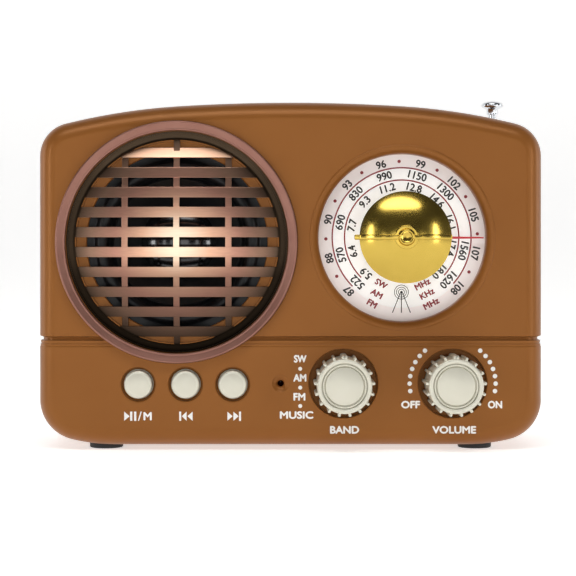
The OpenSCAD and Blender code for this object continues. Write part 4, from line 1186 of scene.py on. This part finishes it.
# %% Needle
NEEDLE_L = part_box("dial_pointer")[1].x / MM - DIAL[0]
bpy.ops.object.select_all(action="DESELECT")
needle = block(
    "needle", (DIAL[0] + 2.0, needle_front, DIAL[1] - 0.5), (DIAL[0] + NEEDLE_L, needle_back, DIAL[1] + 0.5)
)
for vertex in needle.data.vertices:
    share = (vertex.co.x - at(DIAL[0], 0, 0).x) / MM / NEEDLE_L
    middle_z = at(0, 0, DIAL[1]).z
    vertex.co.z = middle_z + (vertex.co.z - middle_z) * (1.1 - 0.75 * share)
soften(needle, 0.08, 2)
needle_boss = turned("needle_boss", [
    (3.0, needle_front), (4.4, needle_front), (4.5, needle_front + 0.1), (4.5, needle_back), (3.0, needle_back),
    (3.0, needle_front),
], DIAL, 64)
needle = join("red_needle", [needle, needle_boss])
shade(needle, 40, flat_first=False)
settle(needle, "tuning_control", lacquered_needle_red(), "red_pointer", "dial_pointer")

# %% [markdown]
# ## Ribbed side knobs
# Both knobs are the same moulding: a turned body, seventeen slim ribs and one wider rib that marks
# the pointer. One rib is shaped and then spun round as copies; the second knob is a copy of the
# first.

# %% Ribbed knob
KNOB_R = 6.75
RIB_TIP_R = 7.55
RIBS = 17
KNOB_FACE, KNOB_FOOT = depth_of("band_knob")


def side_knob(name, spot):
    body = turned(name, [
        *arc((0, KNOB_FACE + 19.9), 20.0, -90, -76.5, 10), (4.82, KNOB_FACE + 0.85), (4.94, KNOB_FACE + 0.85),
        (5.0, KNOB_FACE + 0.4), *arc((5.2, KNOB_FACE + 0.32), 0.2, -170, -10, 5), (5.43, KNOB_FACE + 0.85),
        (5.54, KNOB_FACE + 0.85), (5.6, KNOB_FACE + 0.3), *arc((5.85, KNOB_FACE + 0.27), 0.25, -170, -90, 3),
        *arc((KNOB_R - 0.45, KNOB_FACE + 0.45), 0.45, -90, 0, 5),
        (KNOB_R + 0.1, KNOB_FOOT), (3.0, KNOB_FOOT), (3.0, KNOB_FOOT - 10), (0, KNOB_FOOT - 10),
    ], spot, 136)
    shade(body, 50, flat_first=False)
    rib = block(
        "rib", (spot[0] - 0.36, KNOB_FACE + 0.3, spot[1] + KNOB_R - 0.5), (spot[0] + 0.36, KNOB_FOOT - 0.2, spot[1] + RIB_TIP_R)
    )
    soften(rib, 0.3, 4)
    edit(rib)
    bpy.ops.mesh.select_all(action="SELECT")
    bpy.ops.mesh.spin(
        steps=RIBS, angle=2 * math.pi, dupli=True, center=at(spot[0], 0, spot[1]), axis=(0, 1, 0)
    )
    done()
    index = block(
        "index_rib", (spot[0] - 0.8, KNOB_FACE + 0.3, spot[1] + KNOB_R - 0.6),
        (spot[0] + 0.8, KNOB_FOOT - 0.2, spot[1] + RIB_TIP_R + 0.0)
    )
    soften(index, 0.55, 5)
    for obj in (rib, index):
        shade(obj, 50, flat_first=False)
    return join(name, [body, rib, index])


band_knob = side_knob("ribbed_band_knob", BAND)
settle(band_knob, "band_control", cream, "cream_plastic", "band_knob")
alone(band_knob)
bpy.ops.object.duplicate()
volume_knob = bpy.context.object
volume_knob.name = "ribbed_volume_knob"
edit(volume_knob)
bpy.ops.mesh.select_all(action="SELECT")
bpy.ops.transform.translate(value=at(VOLUME[0], 0, VOLUME[1]) - at(BAND[0], 0, BAND[1]))
done()
settle(volume_knob, "volume_knob_set", cream, "cream_plastic", "volume_knob")

# %% [markdown]
# ## Push buttons
# Each button is a small dome on a stem, with a flange that stops it from falling out of the front.
# It is turned once and copied, since the three come out of the same mould.

# %% Buttons
BUTTON_R = 3.5
BUTTON_EDGE = -0.8
BUTTON_RISE = 0.45
BUTTON_DOME_R = (BUTTON_R ** 2 + BUTTON_RISE ** 2) / (2 * BUTTON_RISE)
BUTTON_FOOT = depth_of("play_button")[1]
button_half = math.degrees(math.asin((BUTTON_R - 0.65) / BUTTON_DOME_R))
button = turned("play_key_cap", [
    *arc((0, BUTTON_EDGE - BUTTON_RISE + BUTTON_DOME_R), BUTTON_DOME_R, -90, -90 + button_half, 14),
    *arc((BUTTON_R - 0.6, BUTTON_EDGE + 0.42), 0.6, -80, 0, 6),
    (BUTTON_R, 2.5), (4.95, 2.5), (5.05, 2.6), (5.05, 3.5), (1.8, 3.5), (1.8, BUTTON_FOOT), (0, BUTTON_FOOT),
], BUTTONS[0], 96)
shade(button, 40, flat_first=False)
settle(button, "play_key", cream, "cream_plastic", "play_button")
for name, body, node_name, spot in (
    ("previous_key_cap", "previous_key", "previous_button", BUTTONS[1]),
    ("next_key_cap", "next_key", "next_button", BUTTONS[2]),
):
    alone(button)
    bpy.ops.object.duplicate()
    copy = bpy.context.object
    copy.name = name
    edit(copy)
    bpy.ops.mesh.select_all(action="SELECT")
    bpy.ops.transform.translate(value=at(spot[0], 0, spot[1]) - at(BUTTONS[0][0], 0, BUTTONS[0][1]))
    done()
    settle(copy, body, cream, "cream_plastic", node_name)

# %% [markdown]
# ## Feet and screws
# The feet are turned rubber buttons glued into pockets. The screws have a domed head with a cross
# recess, cut by two crossed wedges; each of the four is shaped the same way at its hole.

# %% Rubber feet
foot_low = -depth_of("rubber_feet")[0] * 0 + (feet_low.z - UNDERSIDE) / MM
feet = []
for place in FOOT_PLACES:
    feet.append(turned("foot", [
        (0, foot_low), (FOOT_R - 0.9, foot_low), *arc((FOOT_R - 0.4, foot_low + 0.4), 0.4, -90, 0, 5),
        (FOOT_R, FOOT_TOP), (0, FOOT_TOP),
    ], place, 64, up=True))
rubber = join("glued_rubber_feet", feet)
shade(rubber, 40, flat_first=False)
settle(rubber, "case", nitrile_rubber_black(), "rubber", "rubber_feet")


# %% Case screws
HEAD_R = 2.3
SCREW_FROM, SCREW_TO = depth_of("case_screws")


def case_screw(spot):
    screw = turned("screw", [
        (0, SCREW_TO), *arc((0, SCREW_TO - 3.6), 3.6, 90, 55, 6), (HEAD_R, SCREW_TO - 1.0), (HEAD_R, SCREW_TO - 1.6),
        (1.2, SCREW_TO - 1.6), (1.2, SCREW_FROM + 1.5), (0.3, SCREW_FROM), (0, SCREW_FROM),
    ], spot, 48)
    for wide, high in ((1.25, 0.28), (0.28, 1.25)):
        wedge = block(
            "cross", (spot[0] - wide, SCREW_TO - 1.1, spot[1] - high), (spot[0] + wide, SCREW_TO + 0.5, spot[1] + high)
        )
        choose(wedge, lambda co: co.y < FRONT + (SCREW_TO - 1) * MM, "faces")
        bpy.ops.transform.resize(value=(0.55, 1, 0.55))
        done()
        cut(screw, wedge)
    return screw


screws = join("cross_head_screws", [case_screw(post) for post in posts])
shade(screws, 40, flat_first=False)
settle(screws, "case", steel, "steel", "case_screws")

# %% [markdown]
# ## Battery cover
# A flat moulded cover with a soft edge, a thumb recess and a row of grip ridges. The ridges are
# softened bars made one by one along the cover.

# %% Battery cover
cover = block("back_cover_plate", (DOOR_X0, CASE_D - DOOR_T, DOOR_Z0), (DOOR_X1, CASE_D, DOOR_Z1))
soften(cover, 0.35, 3)
thumb_x = (DOOR_X0 + DOOR_X1) / 2
thumb_z = DOOR_Z1 - 8
cut(cover, turned("thumb_recess", [
    (0, CASE_D - 0.8), *arc((0, CASE_D + 31.6), 32.4, -89, -77, 10), (8, CASE_D + 2), (0, CASE_D + 2),
], (thumb_x, thumb_z), 64))
ridges = []
for i in range(5):
    height = thumb_z - 3.2 + 1.6 * i
    ridge = block(
        "ridge", (thumb_x - 4.5, CASE_D - 1.1, height - 0.3), (thumb_x + 4.5, CASE_D - 0.15, height + 0.3)
    )
    soften(ridge, 0.22, 3)
    ridges.append(ridge)
for ridge in ridges:
    add_on(cover, ridge)
shade(cover, 35)
settle(cover, "back_cover", brown, "brown_case", "battery_door")

# %% [markdown]
# ## Sockets in the right side
# The metal ports are thin folded shells, so each is a softened block with its inside cut out, and
# a contact tongue with gilt strips inside. The headphone socket gets a turned bush at its mouth.

# %% Metal ports
gilt = gilt_contact_strip()


def port(name, node_name, skin, tongue, contacts):
    low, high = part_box(node_name)
    x0, x1 = low.x / MM, high.x / MM
    y0, y1 = depth_of(node_name)
    z0, z1 = (low.z - UNDERSIDE) / MM, (high.z - UNDERSIDE) / MM
    shell = block(name + "_shell", (x0, y0, z0), (x1, y1, z1))
    soften(shell, 0.3, 3)
    hollow = block("hollow", (x0 + 1, y0 + skin, z0 + skin), (x1 + OVER, y1 - skin, z1 - skin))
    soften(hollow, 0.15, 2)
    cut(shell, hollow)
    shade(shell)
    settle(shell, "case", steel, "steel", node_name)
    if not tongue:
        return
    y_middle = (y0 + y1) / 2
    blade = block(
        name + "_tongue", (x0 + 0.8, y_middle - tongue / 2, z0 + 3 * skin), (x1 - 1, y_middle + tongue / 2, z1 - 3 * skin)
    )
    soften(blade, 0.12, 2)
    shade(blade)
    settle(blade, "case", nylon, "black_plastic")
    strips = []
    pitch = (z1 - z0 - 6 * skin) / contacts
    for i in range(contacts):
        height = z0 + 3 * skin + pitch * (i + 0.5)
        strip = block(
            "strip", (x0 + 1.2, y_middle - tongue / 2 - 0.06, height - pitch * 0.22),
            (x1 - 1.6, y_middle - tongue / 2 + 0.1, height + pitch * 0.22)
        )
        soften(strip, 0.03, 1)
        strips.append(strip)
    settle(join(name + "_contacts", strips), "case", gilt, "brass")


port("usb_port", "usb_socket", 0.35, 1.8, 4)
port("charge_port", "charge_socket", 0.3, 0.6, 5)
port("card_slot", "card_socket", 0.3, 0, 0)

# %% Headphone bush
bush = turned_across("headphone_bush", [
    (1.82, right - 1.5), (2.5, right - 1.5), (2.5, right - 0.05), *arc((2.3, right), 0.2, 0, 90, 3)[1:],
    (2.0, right + 0.2), *arc((2.02, right), 0.2, 90, 180, 3), (1.82, right - 1.5),
], JACK_Y, JACK_Z)
edit(bush)
bpy.ops.mesh.select_all(action="SELECT")
bpy.ops.mesh.normals_make_consistent(inside=False)
done()
shade(bush, 40, flat_first=False)
settle(bush, "case", chrome, "chrome")

# %% [markdown]
# ## Antenna
# Chromed tubes that slide in one another, each with its top rolled in so the next one can't fall
# out, and a turned tip with a lens-shaped cap. The lowest tube is pressed onto a flat knuckle.

# %% Telescopic tubes
ANTENNA = (ANTENNA_X, ANTENNA_Y)


def upright_span(node_name):
    low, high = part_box(node_name)
    return (low.z - UNDERSIDE) / MM, (high.z - UNDERSIDE) / MM, (high.x - low.x) / 2 / MM


def sliding_tube(name, node_name, body, bottom=None):
    low, high, radius = upright_span(node_name)
    low = low if bottom is None else bottom
    bore = radius - 0.3
    roll = 0.25
    tube = turned(name, [
        (bore, low), (radius, low), (radius, high - roll), *arc((radius - roll, high - roll), roll, 0, 90, 4)[1:],
        (bore + 0.05, high - 0.05), (bore, high - 0.3), (bore, low),
    ], ANTENNA, 64, up=True)
    shade(tube, 40, flat_first=False)
    return tube


for number, body in ((2, "antenna_2"), (3, "antenna_3"), (4, "antenna_4")):
    node_name = "antenna_tube_" + str(number)
    settle(sliding_tube("drawn_tube_" + str(number), node_name, body), body, chrome, "chrome", node_name)

# %% Lowest tube with its knuckle
base_low, base_high, knuckle_r = upright_span("antenna_base_tube")
pin_low, pin_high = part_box("antenna_pin")
PIN_Z = ((pin_low + pin_high) / 2).z / MM - UNDERSIDE / MM
KNUCKLE_W = 2.6
KNUCKLE_R = 2.4
NECK_Z = PIN_Z + 4.5
TUBE_R = 2.75
tube = turned("lowest_tube", [
    (TUBE_R - 0.3, NECK_Z + 0.5), (TUBE_R, NECK_Z + 0.5), (TUBE_R, base_high - 0.25),
    *arc((TUBE_R - 0.25, base_high - 0.25), 0.25, 0, 90, 4)[1:], (TUBE_R - 0.28, base_high - 0.05),
    (TUBE_R - 0.3, base_high - 0.3), (TUBE_R - 0.3, NECK_Z + 0.5),
], ANTENNA, 64, up=True)
plug = turned("plug", [
    (0, NECK_Z - 0.5), (TUBE_R - 0.3, NECK_Z - 0.5), (TUBE_R, NECK_Z - 0.2), (TUBE_R, NECK_Z + 0.5),
    (TUBE_R - 0.3, NECK_Z + 0.6), (TUBE_R - 0.3, NECK_Z + 1.5), (0, NECK_Z + 1.5),
], ANTENNA, 64, up=True)
neck = block(
    "neck", (ANTENNA_X - KNUCKLE_W / 2, ANTENNA_Y - KNUCKLE_R, PIN_Z - KNUCKLE_R),
    (ANTENNA_X + KNUCKLE_W / 2, ANTENNA_Y + KNUCKLE_R, NECK_Z)
)
low_edge = at(0, 0, PIN_Z).z
choose(neck, lambda co: co.z < low_edge, "vertices")
done()
alone(neck)
edit(neck, "EDGE")
bpy.ops.mesh.select_all(action="DESELECT")
done()
for edge in neck.data.edges:
    ends = [neck.data.vertices[v].co for v in edge.vertices]
    edge.select = all(co.z < low_edge for co in ends) and abs(ends[0].x - ends[1].x) > MM
edit(neck, "EDGE")
bpy.ops.mesh.bevel(offset=KNUCKLE_R * 0.995 * MM, segments=8, affect="EDGES", clamp_overlap=False)
done()
hole = turned_across("pin_hole", [
    (0, ANTENNA_X - 5), (1.05, ANTENNA_X - 5), (1.05, ANTENNA_X + 5), (0, ANTENNA_X + 5),
], ANTENNA_Y, PIN_Z)
edit(hole)
bpy.ops.mesh.select_all(action="SELECT")
bpy.ops.mesh.normals_make_consistent(inside=False)
done()
cut(neck, hole)
shade(neck)
shade(tube, 40, flat_first=False)
shade(plug, 40, flat_first=False)
settle(join("lowest_tube_and_knuckle", [tube, plug, neck]), "antenna_base", chrome, "chrome", "antenna_base_tube")

# %% Tip
tip_low, tip_high, cap_r = upright_span("antenna_tip")
COLLAR_R = 1.55
CAP_H = 2.3
COLLAR_H = 1.4
ROD_R = 1.15
tip = turned("lens_cap_tip", [
    (0, tip_low), (ROD_R, tip_low), (ROD_R, tip_high - CAP_H - COLLAR_H), (COLLAR_R - 0.1, tip_high - CAP_H - COLLAR_H),
    (COLLAR_R, tip_high - CAP_H - COLLAR_H + 0.1), (COLLAR_R, tip_high - CAP_H - 0.3), (COLLAR_R + 0.15, tip_high - CAP_H),
    *arc((cap_r - 0.75, tip_high - CAP_H / 2 - 0.1), 0.75, -70, 60, 8),
    *arc((0, tip_high - 6.4), 6.4, 72, 90, 8),
], ANTENNA, 64, up=True)
shade(tip, 40, flat_first=False)
settle(tip, "antenna_end", chrome, "chrome", "antenna_tip")

# %% [markdown]
# ## Materials for the parts that keep their shape
# The inner parts show only through openings or when the covers move, and their working shapes are
# right as they are. They get the material of the real part.

# %% Inner parts
plain_parts = {
    sintered_ferrite(): ("speaker_magnet", "ferrite_rod"),
    black_lacquered_steel(): ("speaker_basket",),
    steel: (
        "speaker_screws", "tuning_shaft", "band_shaft", "volume_shaft", "volume_control",
        "board_screws", "antenna_bracket", "antenna_pin",
    ),
    nylon: (
        "play_plunger", "previous_plunger", "next_plunger", "button_switches", "board_chips", "headphone_jack",
        "tuning_capacitor", "band_switch",
    ),
    solder_mask_green(): ("main_board",),
    component_sleeve_blue(): ("board_capacitors",),
    enamelled_copper_wire(): ("ferrite_coil",),
    foil_wrapped_cell(): ("battery",),
    gilt: ("battery_contacts",),
    lamp_epoxy_red(): ("status_lamp",),
}
for material, names in plain_parts.items():
    for name in names:
        mesh = frame["nodes"][name].data
        mesh.materials.clear()
        mesh.materials.append(material)
print("inner parts with a material:", sum(len(names) for names in plain_parts.values()))

# %% [markdown]
# ## Camera, floor and light
# A long lens looks straight at the front. The floor is a pale sheet that rises behind the radio,
# and the light comes from soft boxes above, beside and in front, as in a small product studio.

# %% Camera
CAMERA_BACK = 460
camera_data = bpy.data.cameras.new("camera")
camera = bpy.data.objects.new("camera", camera_data)
bpy.context.scene.collection.objects.link(camera)
camera_data.lens = 115
camera_data.sensor_width = 36
camera_data.shift_x = 0.0087
camera_data.shift_y = -0.059
camera.location = at(-1.9, -CAMERA_BACK, 48.0)
camera.rotation_euler = (math.radians(90), 0, 0)
bpy.context.scene.camera = camera

# %% Floor and backdrop
SWEEP_R = 300
SWEEP_BACK = 900
floor_z = (case_low.z / MM) - UNDERSIDE / MM - 1.2
bpy.ops.object.select_all(action="DESELECT")
bpy.ops.mesh.primitive_plane_add(size=1, location=(0, 0, 0))
sweep = bpy.context.object
sweep.name = "studio_sweep"
for vertex in sweep.data.vertices:
    vertex.co = Vector((vertex.co.x * 8, -2.5 if vertex.co.y < 0 else SWEEP_BACK * MM, 0))
sweep.data.update()
choose(sweep, lambda co: co.y > 0, "edges")
turn_steps = 16
for i in range(turn_steps):
    a0, a1 = (math.radians(90 * k / turn_steps) for k in (i, i + 1))
    bpy.ops.mesh.extrude_region_move(TRANSFORM_OT_translate={"value": (
        0, SWEEP_R * MM * (math.sin(a1) - math.sin(a0)), SWEEP_R * MM * (math.cos(a0) - math.cos(a1)),
    )})
bpy.ops.mesh.extrude_region_move(TRANSFORM_OT_translate={"value": (0, 0, 3)})
bpy.ops.mesh.select_all(action="SELECT")
bpy.ops.mesh.normals_make_consistent(inside=False)
done()
alone(sweep)
bpy.ops.object.shade_smooth()
paper = bpy.data.materials.new("seamless_paper_white")
paper.use_nodes = True
paper_shader = paper.node_tree.nodes["Principled BSDF"]
paper_shader.inputs["Base Color"].default_value = colour("#fbfaf8")
paper_shader.inputs["Roughness"].default_value = 0.9
paper_shader.inputs["Emission Color"].default_value = colour("#ffffff")
paper_shader.inputs["Emission Strength"].default_value = 0.57
sweep.data.materials.append(paper)


# %% Soft boxes
def soft_box(name, place, target, size, power):
    light = bpy.data.lights.new(name, "AREA")
    light.shape = "ELLIPSE"
    light.size, light.size_y = size[0] * MM, size[1] * MM
    light.energy = power
    lamp = bpy.data.objects.new(name, light)
    bpy.context.scene.collection.objects.link(lamp)
    lamp.location = at(*place)
    lamp.rotation_euler = (at(*target) - at(*place)).to_track_quat("-Z", "Y").to_euler()
    return lamp


soft_box("top_box", (-30, -360, 600), (0, 0, 50), (720, 250), 1.95)
soft_box("camera_fill", (-40, -1000, 70), (0, 0, 50), (640, 300), 0.85)
for side in (-1, 1):
    soft_box("side_box", (side * 520, -380, 110), (0, 0, 50), (90, 320), 0.5)
    soft_box("near_box", (side * 480, -800, 60), (0, 0, 50), (90, 200), 0.1)
    soft_box("rim_card", (side * 520, 60, 130), (0, 0, 60), (120, 300), 0.28)
world = bpy.data.worlds.new("studio")
bpy.context.scene.world = world
world.use_nodes = True
world.node_tree.nodes["Background"].inputs["Color"].default_value = colour("#454547")
world.node_tree.nodes["Background"].inputs["Strength"].default_value = 1.0
bpy.context.scene.view_settings.view_transform = "Standard"
